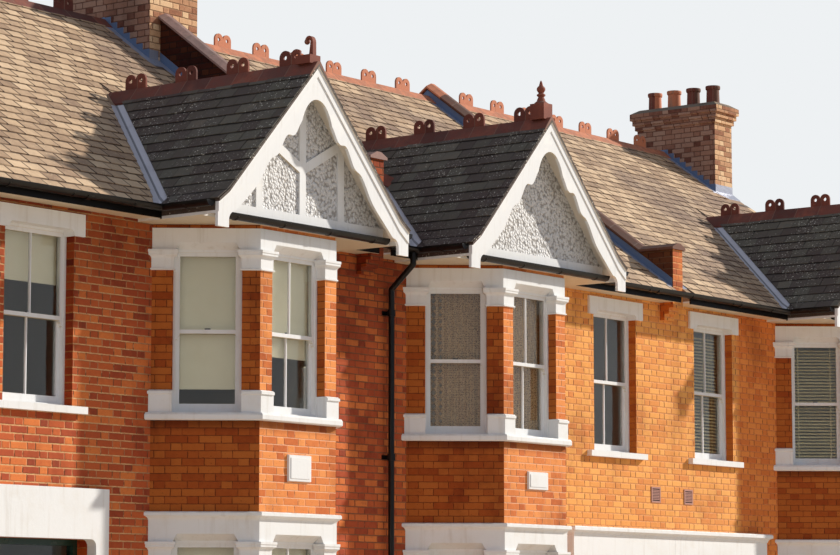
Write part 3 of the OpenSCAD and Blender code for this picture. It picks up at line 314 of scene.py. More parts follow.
def brickwork(name, shades, mortar, soot, soot_share, turned, joint, relief,
              right=None, front_mortar=None):
    """Brick and mortar for one kind of brick, with plaster on the room side.

    The mortar is a row of colours from the left end of the row to the right, and so
    are the bricks where the right-hand houses have shades of their own. Turned is the
    tint of the faces that look along the street: painted shade on the sides of the
    bays, the window reveals, the stacks and the parapets.
    """
    on = Surface(name, rough=0.9, shine=0.25)
    place, facing = whereabouts(on.tree)
    brick, tone, upright, height = [Value(s) for s in node(
        on.tree, "ShaderNodeGroup", {"Place": place, "Facing": facing, "Joint": joint},
        node_tree=bond).outputs]
    indoors = flow(on.tree, "ShaderNodeGroup", {"Place": place}, node_tree=rooms)
    x, y, z = parts(place)
    fine, blotch = noise(place, 160.0, 4.0), noise(place, 18.0, 4.0)
    fired = tone * 0.72 + blotch * 0.28
    across = x / row_w + 0.5
    to_right = ease(across + ease(y, 3.0, 4.0) * 0.08, 0.37, 0.46)
    over_roof = ease(z - ((y - ridge_y).size() * -roof_slope + ridge_z), -0.1, 0.02)
    # faces that look along the street, which get painted shade below
    side_shade = ease(parts(facing)[0].size(), 0.4, 0.7)
    dark, usual = [stop[1:] for stop in shades[:2]]

    body = ramp(fired, shades)
    if right:
        body = mix(to_right * (over_roof * -0.8 + 1.0), body, ramp(fired, right))
    pit = ease(noise(place, 46.0, 3.0, 0.7), 0.645, 0.70)
    body = coats(body, (ease(fine, 0.58, 0.70) * 0.4, dark), (pit * 0.6, (88, 44, 28)))
    lime = mix(ease(blotch, 0.35, 0.7) * 0.45, ramp(across, mortar), usual)
    # paler joints on the fronts of the bays; the darker joints kept on the canted sides are painted
    # shade
    if front_mortar:
        lime = mix(side_shade.rest(), lime, front_mortar)
    chips = upright * ease(noise(place, 8.0, 2.0), 0.48, 0.56) * 0.75
    lime = coats(lime, (upright * 0.5, usual), (chips, (104, 54, 32)))

    patch = ease(noise(stretch(place, (1.0, 1.0, 0.55)), 1.1, 5.0, 0.6), 0.50, 0.72)
    tints = [(patch * soot_share, soot)]
    if front_mortar:
        under_sill = ease(z, sill_z - 0.30, sill_z - 0.18) * z.under(sill_z)
        tints.append((under_sill * 0.7, (128, 112, 108)))
    # painted shade in the red brick only: parapet sides above the roof darkened (with soot as
    # well), the wall beside the third bay tinted redder in its shadow, and the left-hand houses'
    # upper walls darkened under the eaves
    if right:
        bay_shadow_tint = ease(x, *third_bay_x) * ease(y, *front_y, 1.0, 0.0)
        eaves_shadow = ease(z, *eaves_shade_z) * to_right.rest()
        tints += [(over_roof * side_shade, (124, 124, 140)),
                  (bay_shadow_tint, (251, 216, 197)), (eaves_shadow * 0.55, (146, 132, 124))]
        side_shade = side_shade * over_roof.rest()
    # the tint of the faces that look along the street is painted shade
    tints.append((side_shade, turned))
    wall = coats(mix(brick, lime, body), *[(*tint, "MULTIPLY") for tint in tints],
                 (indoors, plaster))
    return lay(on, wall, (height * 0.8 + fine * 0.25) * indoors.rest(), relief, strength=0.9)


def dress(finish, *starts):
    """Gives a finish to the CAD nodes whose names begin like this."""
    for name, piece in nodes.items():
        if name.startswith(starts):
            piece.data.materials.clear()
            piece.data.materials.append(finish)


red_brick = brickwork(
    "red_brick",
    [(0.0, 116, 54, 38), (0.25, 176, 80, 48), (0.6, 202, 102, 56), (0.85, 226, 130, 68),
     (1.0, 152, 78, 56)],
    [(0.0, 226, 182, 130), (0.135, 226, 182, 130), (0.165, 134, 92, 66), (0.36, 134, 92, 66),
     (0.45, 238, 170, 108), (1.0, 230, 168, 114)],
    soot=(150, 124, 114), soot_share=0.5, turned=(214, 166, 124), joint=0.013, relief=0.006,
    right=[(0.0, 208, 118, 66), (0.2, 228, 148, 80), (0.55, 240, 168, 90), (0.85, 246, 178, 100),
           (1.0, 224, 140, 84)])
dress(red_brick, "party_wall", "front_wall", "rear_wall")

# The bays: orange bricks rubbed smoother than those of the walls, laid in the
# same bond with finer joints and paler joints on their fronts; on their canted sides
# the joints and bricks are darker as painted shade.
rubbed_brick = brickwork(
    "rubbed_brick",
    [(0.0, 178, 88, 46), (0.25, 214, 120, 64), (0.6, 236, 150, 84), (1.0, 244, 162, 96)],
    [(0.0, 136, 82, 54), (1.0, 156, 96, 64)],
    soot=(150, 112, 92), soot_share=0.6, turned=(196, 172, 136), joint=0.008, relief=0.004,
    front_mortar=(240, 190, 156))
dress(rubbed_brick, "bay_brick")

# The chimneys: brown stock bricks in the same bond, built up from the party
# walls, worn rough and darkened by soot, their sides darker still as painted shade.
stock_brick = brickwork(
    "stock_brick",
    [(0.0, 96, 62, 48), (0.2, 170, 116, 86), (0.5, 222, 176, 134), (0.85, 240, 206, 164),
     (1.0, 204, 124, 96)],
    [(0.0, 150, 120, 92), (1.0, 160, 128, 96)],
    soot=(96, 64, 58), soot_share=0.4, turned=(192, 184, 204), joint=0.010, relief=0.010)
dress(stock_brick, "chimney_1", "chimney_2")

# Dressed stone: bay cornices, sills, lintels and porches of soft stone under
# many coats of white masonry paint, grimed where rain runs off.

# Masks of grime, shared by most of the finishes from here on
grime, given, end = new_tree("grime", "ShaderNodeTree", {
    "Place": (0.0, 0.0, 0.0), "Facing": (0.0, 0.0, 1.0), "Scale": 1.0},
    ("Ledge", "Streak", "Patch", "Grain"))
scaled = flow(grime, "ShaderNodeVectorMath", {0: given["Place"], 3: given["Scale"]},
              operation="SCALE")
wire(ease(parts(given["Facing"])[2], 0.25, 0.9) * ease(noise(scaled, 9.0), 0.3, 0.65),
     end["Ledge"])
wire(ease(noise(stretch(scaled, (14.0, 14.0, 1.2)), 1.0, 4.0, 0.6), 0.50, 0.78), end["Streak"])
wire(ease(noise(scaled, 2.6, 6.0, 0.62), 0.48, 0.74), end["Patch"])
wire(noise(scaled, 240.0, 4.0, 0.6), end["Grain"])


def grimed(name, rough=0.5, shine=0.5, scale=1.0, **plain):
    """A surface with its masks of grime, larger or finer by scale.

    The ledge lies on upward faces, the streak runs down and the patch gathers anywhere.
    """
    on = Surface(name, rough, shine, **plain)
    on.place, on.facing = whereabouts(on.tree)
    masks = node(on.tree, "ShaderNodeGroup", {
        "Place": on.place, "Facing": on.facing, "Scale": scale}, node_tree=grime).outputs
    on.ledge, on.streak, on.patch, on.grain = [Value(mask) for mask in masks]
    return on


on = grimed("painted_stone", rough=0.7, shine=0.3)
face = coats(mix(on.patch * 0.30, (236, 239, 241), (218, 212, 200)),
             (on.streak * 0.28, (186, 178, 164)), (on.ledge * 0.5, (168, 160, 144)))
painted_stone = lay(on, face, on.grain * 0.5 + noise(on.place, 30.0) * 0.8,
                    depth=0.002, strength=0.7)
dress(painted_stone, "bay_stone", "window_lintels", "window_sills", "porch")

# The gable walls: pebbledash, small stones thrown on wet render and painted
# white. Each stone throws its own small shadow through its relief, and the gaps
# between the stones and scattered specks are also painted grey as painted shade.
stones_per_m = 30.0


def speckle(place, scale, spread=1.0):
    """How far a place lies from the nearest of scattered points."""
    return flow(place.tree, "ShaderNodeTexVoronoi", {
        "Vector": place, "Scale": scale, "Randomness": spread}, "Distance")


on = grimed("pebbledash", rough=0.85, shine=0.25)
gap, small = speckle(on.place, stones_per_m), speckle(on.place, stones_per_m * 2.3)
# the gaps between the stones and the scattered dark specks are painted shade
face = coats(mix(ease(gap, 0.45, 0.85), (234, 236, 238), (172, 170, 168)),
             (ease(noise(on.place, 22.0), 0.55, 0.68) * 0.34, (146, 141, 134)),
             (on.streak * 0.3, (160, 154, 144)))
pebbledash = lay(on, face, gap * -1.0 + small * -0.35 + 1.0, depth=0.022, strength=1.0)
dress(pebbledash, "gable_wall")

# The woodwork: softwood sashes, frames, bargeboards and eaves boards under
# white gloss paint, a little worn. Faces that look down are tinted cream, and the
# fascias are near-black, partly their black paint and partly painted shade under the gutters.
fascia_off, fascia_t, fascia_foot = 4.011, 0.013, 6.0
wood_grain = (60.0, 60.0, 6.0)
on = grimed("white_paint", shine=0.45, scale=1.6)
y, z = parts(on.place)[1:]
down = parts(on.facing)[2] * -1.0
# the fascia behind the gutter is near-black: partly black paint, partly painted shade under the
# gutter
behind_gutter = ((y - ridge_y).size() - fascia_off).size().under(fascia_t)
fascia = behind_gutter * z.over(fascia_foot) * down.size().under(0.5)
# faces that look down are tinted cream
face = coats(mix(on.patch * 0.30, (237, 240, 242), (222, 219, 212)),
             (on.streak * 0.22, (190, 184, 172)), (on.ledge * 0.35, (176, 170, 158)),
             (ease(down, 0.6, 0.9), (220, 208, 182)), (fascia, (16, 15, 15)))
wire(fascia * -0.33 + 0.45, on.shader.inputs["Specular IOR Level"])
along_grain = noise(stretch(on.place, wood_grain), 1.0, 4.0)
white_paint = lay(on, face, along_grain * 0.6 + on.grain * 0.3, depth=0.0012, strength=0.8,
                  rough=ease(on.patch, 0.0, 1.0, 0.34, 0.55))
dress(white_paint, "bay_windows", "front_windows", "rear_windows", "gable_timbers",
      "bargeboards", "eaves_boards")

# The panes: clear sheet glass puttied into the sashes, with the slight waves
# of old glass.
on = Surface("window_glass", rough=0.02, **{
    "Base Color": colour(249, 250, 247), "Metallic": 0.0, "IOR": 1.42,
    "Transmission Weight": 1.0})
waves = noise(whereabouts(on.tree)[0], 5.0, 1.0)
dress(lay(on, None, waves, depth=0.0016, strength=0.6), "glass")

# The slates: weathered brown slates on the main roof and dark grey ones on the
# gables, nailed in courses that break joint, each tail lying over two below.
slate_w, slate_l, slate_t, gauge = 0.235, 0.245, 0.008, 0.165
slate_gap, gable_slate_gap = 0.008, 0.002
slate_lift, slate_tip = 0.010, -0.055
eaves_y, eaves_z, roof_pitch = -0.300, 6.160, math.radians(36.3)
gable_pitch, gable_slope, gable_ridge_z = math.radians(46.7), 1.0612, 7.744
kick_x, kick_z, kick_y = 1.3796, 6.280, -0.137
kick_bend = math.tan(gable_pitch - roof_pitch)
verge_x, verge_y = 9.335, -1.090
lead_channel, lead_side, lead_gap = 0.098, 0.115, wall_t / 2 + 0.125
stacks = {1: (-3.3753, -2.5453, 2.96, 4.54), 3: (8.8620, 9.3420, 2.78, 4.16)}
stack_gap_x, stack_gap_y = 0.13, 0.14


def slating(name, shades, lichen, lichen_share, stain, stain_share, shade_and_dirt, side_share):
    """Slate of one kind, with lichen in flecks, broad stains, and edges darkened as painted shade
    under the slate above and in the joints, with some dirt.
    """
    on = grimed(name, shine=0.35)
    tone, upward, sideward = [
        flow(on.tree, "ShaderNodeAttribute", output="Fac", attribute_name=f"slate_{label}")
        for label in ("tone", "up", "side")]
    mottle = noise(on.place, 9.0, 5.0, 0.6)
    broad = ease(noise(on.place, 0.55), 0.45, 0.66)
    spot = ease(speckle(on.place, 26.0) + noise(on.place, 70.0) * 0.5, 0.50, 0.36)
    fleck = ease(noise(on.place, 30.0, 5.0, 0.7), 0.57, 0.68) * 0.42
    where = ease(noise(on.place, 2.2, 4.0), 0.38, 0.60)
    # dark bands at the head and sides of each slate: painted shade under the slate above and in the
    # joints, with some dirt
    edge_shade_and_dirt = ease(upward + (mottle - 0.5) * 0.12, 0.55, 0.65) * 0.86
    edge_shade_and_dirt = edge_shade_and_dirt.most(ease(sideward + (mottle - 0.5) * 0.16, 0.86, 0.95) * side_share)
    soffit = ease(parts(on.facing)[2] * -1.0, 0.3, 0.6) * tone.over(0.0).rest()
    face = coats(ramp(tone * 0.48 + mottle * 0.52, shades), (broad * stain_share, stain),
                 (spot.most(fleck) * where * lichen_share, lichen), (edge_shade_and_dirt, shade_and_dirt),
                 (soffit, (232, 226, 214)))
    return lay(on, face, mottle * 0.7 + on.grain * 0.4 + spot * 0.3, depth=0.003,
               strength=0.8, rough=ease(mottle, 0.3, 0.7, 0.62, 0.85))


brown_slate = slating(
    "brown_slate",
    [(0.0, 106, 84, 70), (0.28, 158, 130, 104), (0.55, 194, 165, 133), (0.8, 218, 190, 156),
     (1.0, 168, 142, 119)],
    lichen=(236, 218, 180), lichen_share=0.5, stain=(124, 102, 92), stain_share=0.55,
    shade_and_dirt=(66, 52, 44), side_share=0.8)
grey_slate = slating(
    "grey_slate",
    [(0.0, 66, 50, 46), (0.35, 86, 76, 68), (0.65, 98, 94, 82), (1.0, 132, 118, 104)],
    lichen=(218, 214, 198), lichen_share=1.0, stain=(74, 52, 50), stain_share=0.6,
    shade_and_dirt=(20, 18, 18), side_share=0.2)
dress(brown_slate, "roof_front", "roof_rear")
dress(grey_slate, "gable_roof")


def then(geometry, kind, inputs, **settings):
    """What a node makes of a geometry."""
    return flow(geometry.tree, "GeometryNode" + kind, {"Geometry": geometry, **inputs}, **settings)


def read(tree, label, form="FLOAT"):
    return flow(tree, "GeometryNodeInputNamedAttribute", {"Name": label}, data_type=form)


def close(geometry, spent, finish, end):
    """Ends a tree: drops the attributes that are spent and sets the material."""
    for label in spent:
        geometry = then(geometry, "RemoveAttribute", {"Name": label})
    wire(then(geometry, "SetMaterial", {"Material": finish}), end["Geometry"])


def slate_courses(name, finish):
    """Courses of slates on a flat slope: x runs along the eaves, y up the slope."""
    tree, given, end = new_tree(name, "GeometryNodeTree", {
        "Columns": 10, "Rows": 10, "Start": 0.0, "Foot": 0.0, "Top": 1.0,
        "Slate Width": slate_w, "Slate Length": slate_l, "Gauge": gauge, "Thickness": slate_t,
        "Gap": slate_gap, "Left": 0.0, "Right": 1.0, "Right Lean": 0.0, "Stack Height": 99.0,
        "Left By Stack": 0.0, "Right By Stack": 1.0, "Gable Middle": 0.0, "Gable Rise": -9.0,
        "Gable Half Per Rise": 1.0, "Kick Half": 0.0, "Kick Rise": -9.0,
        "Kick Half Per Rise": 1.0, "Kick Bend": 0.0, "Channel": 0.0, "Seed": 1},
        ("Geometry",), "Geometry")
    width, length, thick = given["Slate Width"], given["Slate Length"], given["Thickness"]
    columns, top, gable_x = given["Columns"], given["Top"], given["Gable Middle"]

    def random(salt, high, low=None):
        return flow(tree, "FunctionNodeRandomValue", {
            2: -high if low is None else low, 3: high, 8: given["Seed"] + salt}, 1)

    def keep(geometry, **marks):
        for label, value in marks.items():
            geometry = then(geometry, "StoreNamedAttribute", {"Name": label, "Value": value},
                            data_type="FLOAT")
        return geometry

    def wedge(height):
        """Half the width that a gable roof takes at this height."""
        wide = (given["Gable Rise"] - height) * given["Gable Half Per Rise"]
        flared = given["Kick Half"] + (given["Kick Rise"] - height) * given["Kick Half Per Rise"]
        return wide.most(flared) + given["Channel"]

    def limits(height):
        """How far left and right the slates run at this height."""
        by_stack = height.over(given["Stack Height"])
        left, right = [given[side] + by_stack * (given[side + " By Stack"] - given[side])
                       for side in ("Left", "Right")]
        return left, right + height * given["Right Lean"]

    # one point for each slate, every other course shifted by half a slate
    index = flow(tree, "GeometryNodeInputIndex")
    course = (index / columns).floor()
    shift = course.to("FLOORED_MODULO", 2.0) * 0.5
    across = given["Start"] + (index - course * columns + shift) * width + random(1, 0.004)
    upward = given["Foot"] + course * given["Gauge"] + random(2, 0.003)
    points = keep(flow(tree, "GeometryNodePoints", {
        "Count": columns * given["Rows"],
        "Position": vector(across, upward, random(3, 0.0022, 0.0))}),
        slate_tone=random(4, 1.0, 0.0), slate_middle=across, slate_head=upward + length)

    # the slate itself, its tail on the course below
    slab = flow(tree, "GeometryNodeMeshCube", {
        "Size": vector(width - given["Gap"], length, thick), "Vertices X": 3})
    across_slab, along_slab, _ = parts(flow(tree, "GeometryNodeInputPosition"))
    slab = keep(slab, slate_side=across_slab.size() / width * 2.0,
                slate_up=along_slab / length + 0.5)
    for change in ({"Translation": vector(0.0, length * 0.5, thick * 0.5)},
                   {"Translation": (0.0, 0.0, slate_lift), "Rotation": (slate_tip, 0.0, 0.0)}):
        slab = then(slab, "Transform", change)
    slates = then(flow(tree, "GeometryNodeInstanceOnPoints", {
        "Points": points, "Instance": slab,
        "Rotation": vector(random(5, 0.004), random(6, 0.006), random(7, 0.008))}),
        "RealizeInstances", {})

    # slates wholly off the slope go, and the rest are cut to its edges
    middle, head = read(tree, "slate_middle"), read(tree, "slate_head")
    half_slate = width * 0.5
    left, right = limits(head)
    gone = (left - middle).over(half_slate).most((middle - right).over(half_slate)).most(
        (wedge(head) - (middle - gable_x).size()).over(half_slate)).most(
        (head - top).over(length - 0.02))
    slates = then(slates, "DeleteGeometry", {"Selection": gone}, domain="POINT")
    chip = flow(tree, "FunctionNodeRandomValue", {
        0: (-0.0016, -0.0026, -0.0006), 1: (0.0016, 0.0026, 0.0006), 8: given["Seed"] + 9},
        data_type="FLOAT_VECTOR")
    x, y, z = [a + b for a, b in zip(
        parts(flow(tree, "GeometryNodeInputPosition")), parts(chip))]
    y = y.least(top)
    left, right = limits(y)
    x = x.most(left).least(right)
    half = wedge(y)
    x_right, x_left = x.most(gable_x + half), x.least(gable_x - half)
    cut = x_left + (middle - gable_x).over(0.0) * (x_right - x_left)
    x = x + given["Gable Rise"].over(0.0) * half.over(-0.6) * (cut - x)
    z = z + (y * -1.0).most(0.0) * given["Kick Bend"]
    slates = then(slates, "SetPosition", {"Position": vector(x, y, z)})
    close(slates, ("slate_middle", "slate_head"), finish, end)
    return tree


def grown(name, tree, values, points=(), marks=None):
    """The plain mesh object that a Geometry Nodes tree makes from its named inputs."""
    start = bpy.data.meshes.new(name)
    start.from_pydata(points, [], [])
    for label, (form, key, row) in (marks or {}).items():
        start.attributes.new(label, form, "POINT").data.foreach_set(key, row)
    maker = put(name + "_maker", start)
    modifier = maker.modifiers.new("nodes", "NODES")
    modifier.node_group = tree
    for item in tree.interface.items_tree:
        if item.item_type == "SOCKET" and item.in_out == "INPUT" and item.name in values:
            modifier[item.identifier] = values[item.name]
    ready = maker.evaluated_get(bpy.context.evaluated_depsgraph_get())
    mesh = bpy.data.meshes.new_from_object(ready)
    bpy.data.objects.remove(maker)
    return put(name, mesh)


def stand(piece, origin, along, upward, outward, mirror_x=None):
    """Turns a flat piece to stand in its place, and mirrors it about x if asked."""
    rows = [(along[k], upward[k], outward[k], origin[k]) for k in range(3)]
    piece.data.transform(Matrix(rows + [(0, 0, 0, 1)]))
    if mirror_x is not None:
        over = Matrix.Translation((2 * mirror_x, 0, 0)) @ Matrix.Scale(-1, 4, (1, 0, 0))
        piece.data.transform(over)
        piece.data.flip_normals()
    piece.data.update()


def keep_piece(piece):
    """Joins a finished piece to the row."""
    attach(piece, "root")
    return piece


cos_p, sin_p = math.cos(roof_pitch), math.sin(roof_pitch)
slope_l = (ridge_y - eaves_y) / cos_p
brown_courses = slate_courses("brown_slate_courses", brown_slate)
for h, bay_x in enumerate(bay_xs):
    low_x = party_xs[h] + lead_gap
    high_x = party_xs[h + 1] - lead_gap if h < 2 else verge_x
    stack = stacks[3 if h == 2 else 1]
    low_stack = stack[1] + stack_gap_x if h == 1 else low_x
    high_stack = high_x if h == 1 else stack[0] - stack_gap_x
    common = {"Columns": int((high_x - low_x) / slate_w) + 3, "Rows": int(slope_l / gauge) + 1,
              "Foot": -0.018, "Top": slope_l - 0.01}
    front = grown(f"front_slates_{h + 1}", brown_courses, {
        **common, "Stack Height": (stack[2] - stack_gap_y - eaves_y) / cos_p, "Seed": 11 + h,
        "Start": low_x - slate_w / 2, "Left": low_x, "Right": high_x,
        "Left By Stack": low_stack, "Right By Stack": high_stack, "Gable Middle": bay_x,
        "Gable Rise": (gable_ridge_z - eaves_z) / sin_p,
        "Gable Half Per Rise": sin_p / gable_slope, "Channel": lead_channel,
        "Kick Half": kick_x, "Kick Rise": (kick_z - eaves_z) / sin_p,
        "Kick Half Per Rise": sin_p / roof_slope})
    stand(front, (0, eaves_y, eaves_z), (1, 0, 0), (0, cos_p, sin_p), (0, -sin_p, cos_p))
    rear = grown(f"rear_slates_{h + 1}", brown_courses, {
        **common, "Stack Height": (2 * ridge_y - stack[3] - stack_gap_y - eaves_y) / cos_p,
        "Seed": 31 + h, "Start": -high_x - slate_w / 2, "Left": -high_x, "Right": -low_x,
        "Left By Stack": -high_stack, "Right By Stack": -low_stack})
    stand(rear, (0, 2 * ridge_y - eaves_y, eaves_z),
          (-1, 0, 0), (0, -cos_p, sin_p), (0, sin_p, cos_p))
    for piece in (front, rear):
        keep_piece(piece)

cos_g, sin_g = math.cos(gable_pitch), math.sin(gable_pitch)
grey_courses = slate_courses("grey_slate_courses", grey_slate)
for h, bay_x in enumerate(bay_xs):
    for s, side in ((1, "right"), (-1, "left")):
        piece = grown(f"gable_slates_{h + 1}_{side}", grey_courses, {
            "Columns": 15, "Rows": 13, "Gap": gable_slate_gap, "Seed": 51 + 2 * h + s,
            "Start": verge_y, "Foot": -0.200, "Top": (gable_ridge_z - kick_z) / sin_g - 0.01,
            "Left": verge_y, "Right": kick_y - lead_side, "Left By Stack": verge_y,
            "Right By Stack": 9.0, "Right Lean": sin_g / roof_slope, "Kick Bend": kick_bend})
        stand(piece, (bay_x + kick_x, 0, kick_z), (0, 1, 0), (-cos_g, 0, sin_g),
              (sin_g, 0, cos_g), bay_x if s < 0 else None)
        keep_piece(piece)

# Clay on the roof: ridge tiles with crests, finials, copings on the party
# walls and the chimney pots, all of fired red clay bedded in mortar.
tile_l, tile_half, tile_foot, coping_zone, coping_foot, vents_below = 0.45, 0.24, 9.0, 0.2, 6.3, 4.0
on = grimed("red_clay", rough=0.75, shine=0.3)
x, y, z = parts(on.place)
on_ridge = (y - ridge_y).size().under(tile_half) * z.over(tile_foot)
run = y / cos_p + on_ridge * (x - y / cos_p)
unit = (run / tile_l).floor()
near = (run - unit * tile_l).least((unit + 1.0) * tile_l - run)
joint = ease(near, 0.004, 0.009).rest()
tone = chance(vector(unit, on_ridge * 5.0, 3.0))
over_wall = nearest(x.size(), party_xs[2:]).under(coping_zone) * z.over(coping_foot)
to_right = ease(x, -1.0, 1.0)
face = coats(
    ramp(tone * 0.6 + on.patch * 0.5, [
        (0.0, 92, 50, 44), (0.4, 124, 68, 56), (0.75, 146, 82, 64), (1.0, 140, 100, 86)]),
    (on_ridge * ease(x, -3.2, -2.6) * 0.75, (222, 142, 104)),
    (over_wall * on_ridge.rest() * (to_right * 0.2 + 0.6),
     mix(to_right, (164, 142, 136), (108, 76, 62))),
    (z.under(vents_below) * 0.6, (206, 160, 148)), (on.ledge * 0.45, (84, 76, 70)),
    (joint * 0.45, (150, 124, 108)))
clay = lay(on, face, on.grain * 0.5 - joint * 1.5, depth=0.003, strength=0.8)
dress(clay, "ridge_tiles", "finials", "parapet_coping", "chimney_pots")

# Flaunching: a bed of mortar on the head of each stack, sloped off at its edges,
# that holds the pots and throws off the rain.
cap_z, stack_z, cap_out, flaunching_up, flaunching_slope = 9.7366, 9.790, 0.084, 0.015, 0.11
on = grimed("mortar_bed", rough=0.95, shine=0.2)
mortar = lay(on, mix(on.patch * 0.6, (128, 116, 102), (88, 80, 72)),
             on.grain + noise(on.place, 30.0), depth=0.004, strength=0.9)


def outward(mesh):
    """Turns all faces of a closed mesh outwards."""
    whole = bmesh.new()
    whole.from_mesh(mesh)
    bmesh.ops.recalc_face_normals(whole, faces=whole.faces)
    whole.to_mesh(mesh)
    whole.free()
    return mesh


def ringed(rings, looped=False):
    """A closed mesh through rings of points, carried round to the first ring or capped."""
    count, sides = len(rings), len(rings[0])
    faces = [] if looped else [range(sides), range((count - 1) * sides, count * sides)]
    faces += [(j * sides + k, j * sides + (k + 1) % sides,
               (j + 1) % count * sides + (k + 1) % sides, (j + 1) % count * sides + k)
              for j in range(count if looped else count - 1) for k in range(sides)]
    mesh = bpy.data.meshes.new("ringed")
    mesh.from_pydata([point for ring in rings for point in ring], [], faces)
    return outward(mesh)


def prism(outline, low, high, lie=Matrix()):
    """A flat outline carried from low to high, laid another way if asked."""
    return ringed([[lie @ Vector((a, b, c)) for a, b in outline] for c in (low, high)])


def slab(low, high):
    """A closed box between two corners."""
    (x0, y0, z0), (x1, y1, z1) = low, high
    return prism([(x0, y0), (x1, y0), (x1, y1), (x0, y1)], z0, z1)


def hipped(x0, x1, y0, y1, low, high, hip):
    """A low closed mound over an oblong."""
    mesh = slab((x0, y0, low), (x1, y1, high))
    middle = ((x0 + x1) / 2, (y0 + y1) / 2)
    for point in mesh.vertices:
        if point.co.z > (low + high) / 2:
            for k in (0, 1):
                point.co[k] += hip if point.co[k] < middle[k] else -hip
    return mesh


def merged(name, meshes):
    """One mesh of several closed ones."""
    whole = bmesh.new()
    for mesh in meshes:
        whole.from_mesh(mesh)
    mesh = bpy.data.meshes.new(name)
    whole.to_mesh(mesh)
    whole.free()
    return mesh


def joined(name, meshes, finish):
    """One piece of several closed meshes."""
    mesh = merged(name, meshes)
    mesh.materials.append(finish)
    return keep_piece(put(name, mesh))


joined("flaunching", [
    hipped(x0 - cap_out, x1 + cap_out, y0 - cap_out, y1 + cap_out, cap_z,
           stack_z + flaunching_up, flaunching_slope)
    for x0, x1, y0, y1 in stacks.values()], mortar)

# Lead: valleys, aprons and flashings of milled sheet, dressed down over the
# slates and gone dull grey. The valleys are painted paler as painted light, the faces
# that look along the street bluer and darker as painted shade, and a dark line along
# each valley fold is painted shade in the crease.
valley_reach = 1.7
on = grimed("sheet_lead", shine=0.4, scale=1.3, Metallic=0.25)
x, y, z = parts(on.place)
off = nearest(x, bay_xs)
in_valley = off.under(valley_reach) * z.under(gable_ridge_z)
fold = ((y - eaves_y) * roof_slope + (eaves_z - gable_ridge_z) + off * gable_slope).size()
# painted light on the valleys, painted shade on the side faces and along the valley fold
face = coats(mix(on.patch * 0.6, (160, 166, 184), (128, 134, 152)),
             (on.streak * 0.4, (190, 192, 200)),
             (ease(parts(on.facing)[0].size(), 0.80, 0.95) * 0.8, (92, 122, 164)),
             (in_valley * 0.6, (222, 218, 222)),
             (ease(fold, 0.010, 0.020).rest() * in_valley * 0.7, (62, 60, 66)))
lead = lay(on, face, noise(on.place, 16.0) + on.grain * 0.1, depth=0.006, strength=0.7,
           rough=ease(on.patch, 0.0, 1.0, 0.42, 0.62))
dress(lead, "leadwork")

# Flashings at the stacks: aprons before and behind, soakers on the slates and
# stepped cover pieces tucked into the brick joints up each side.
lead_t, soaker_w, apron_up, cover_up, coping_half = 0.006, 0.14, 0.12, 0.05, 0.15
sideways = Matrix(((0, 0, 1, 0), (1, 0, 0, 0), (0, 1, 0, 0), (0, 0, 0, 1)))


def roof_at(y):
    """Height of the top of the main roof at a distance from the front wall."""
    return eaves_z + (min(y, 2 * ridge_y - y) - eaves_y) * roof_slope


def apron(x0, x1, y, way):
    """An L of lead on the slope and up the brick; way is -1 in front and 1 behind."""
    low = y + way * soaker_w
    return prism([(low, roof_at(low)), (y, roof_at(y)), (y, roof_at(y) + apron_up),
                  (y + way * lead_t, roof_at(y) + apron_up),
                  (y + way * lead_t, roof_at(y) + lead_t * 2),
                  (low, roof_at(low) + lead_t * 2)], x0, x1, sideways)


def stepped(x, way, y0, y1):
    """Lead against a side of a stack, stepped with the courses, and the soaker below it."""
    top = []
    run = course_h / roof_slope
    for y, turn_way in ((y1, -1), (y0, 1)):
        steps = []
        while (ridge_y - y) * turn_way > 0:
            after = min(y + run, ridge_y) if turn_way > 0 else max(y - run, ridge_y)
            steps += [(y, roof_at(after) + cover_up), (after, roof_at(after) + cover_up)]
            y = after
        top += steps if turn_way < 0 else steps[::-1]
    line = [(y0, roof_at(y0)), (ridge_y, ridge_z), (y1, roof_at(y1))]
    cover = prism(line + top, x, x + way * lead_t, sideways)
    ends = [(y0 - soaker_w, roof_at(y0 - soaker_w)), (ridge_y, ridge_z),
            (y1 + soaker_w, roof_at(y1 + soaker_w))]
    soaker = prism(ends + [(y, z + lead_t * 2) for y, z in ends[::-1]],
                   x, x + way * soaker_w, sideways)
    return [cover, soaker]


flashing = []
x0, x1, y0, y1 = stacks[1]
for left, right in ((x0, party_xs[1] - coping_half), (party_xs[1] + coping_half, x1)):
    flashing += [apron(left, right, y0, -1), apron(left, right, y1, 1)]
flashing += stepped(x0, -1, y0, y1) + stepped(x1, 1, y0, y1)
x0, x1, y0, y1 = stacks[3]
flashing += [apron(x0, x1, y0, -1), apron(x0, x1, y1, 1)] + stepped(x0, -1, y0, y1)
joined("stack_flashings", flashing, lead)

# A small clay vent on the left slope of the second gable: a bent hood, open at the
# foot, that is nailed over a slate and lets the air out of the roof.
vent_y, vent_off, vent_half, vent_l, vent_h, vent_t = 0.86, 0.66, 0.115, 0.16, 0.10, 0.020
foot = (bay_xs[1] - vent_off, vent_y, gable_ridge_z - vent_off * gable_slope)
on_slope = Matrix(((0, -sin_g, cos_g, foot[0]), (1, 0, 0, foot[1]), (0, cos_g, sin_g, foot[2]),
                   (0, 0, 0, 1)))
mouth = [(vent_t - vent_half, 0.0), (0.0, vent_h - vent_t), (vent_half - vent_t, 0.0)]
hood = [(-vent_half, 0.0), (0.0, vent_h), (vent_half, 0.0)] + mouth[::-1]
joined("gable_vent", [prism(hood, 0.0, vent_l, on_slope)], clay)
joined("gable_vent_back", [prism(mouth, vent_l * 0.6, vent_l * 0.99, on_slope)],
       grey_slate)

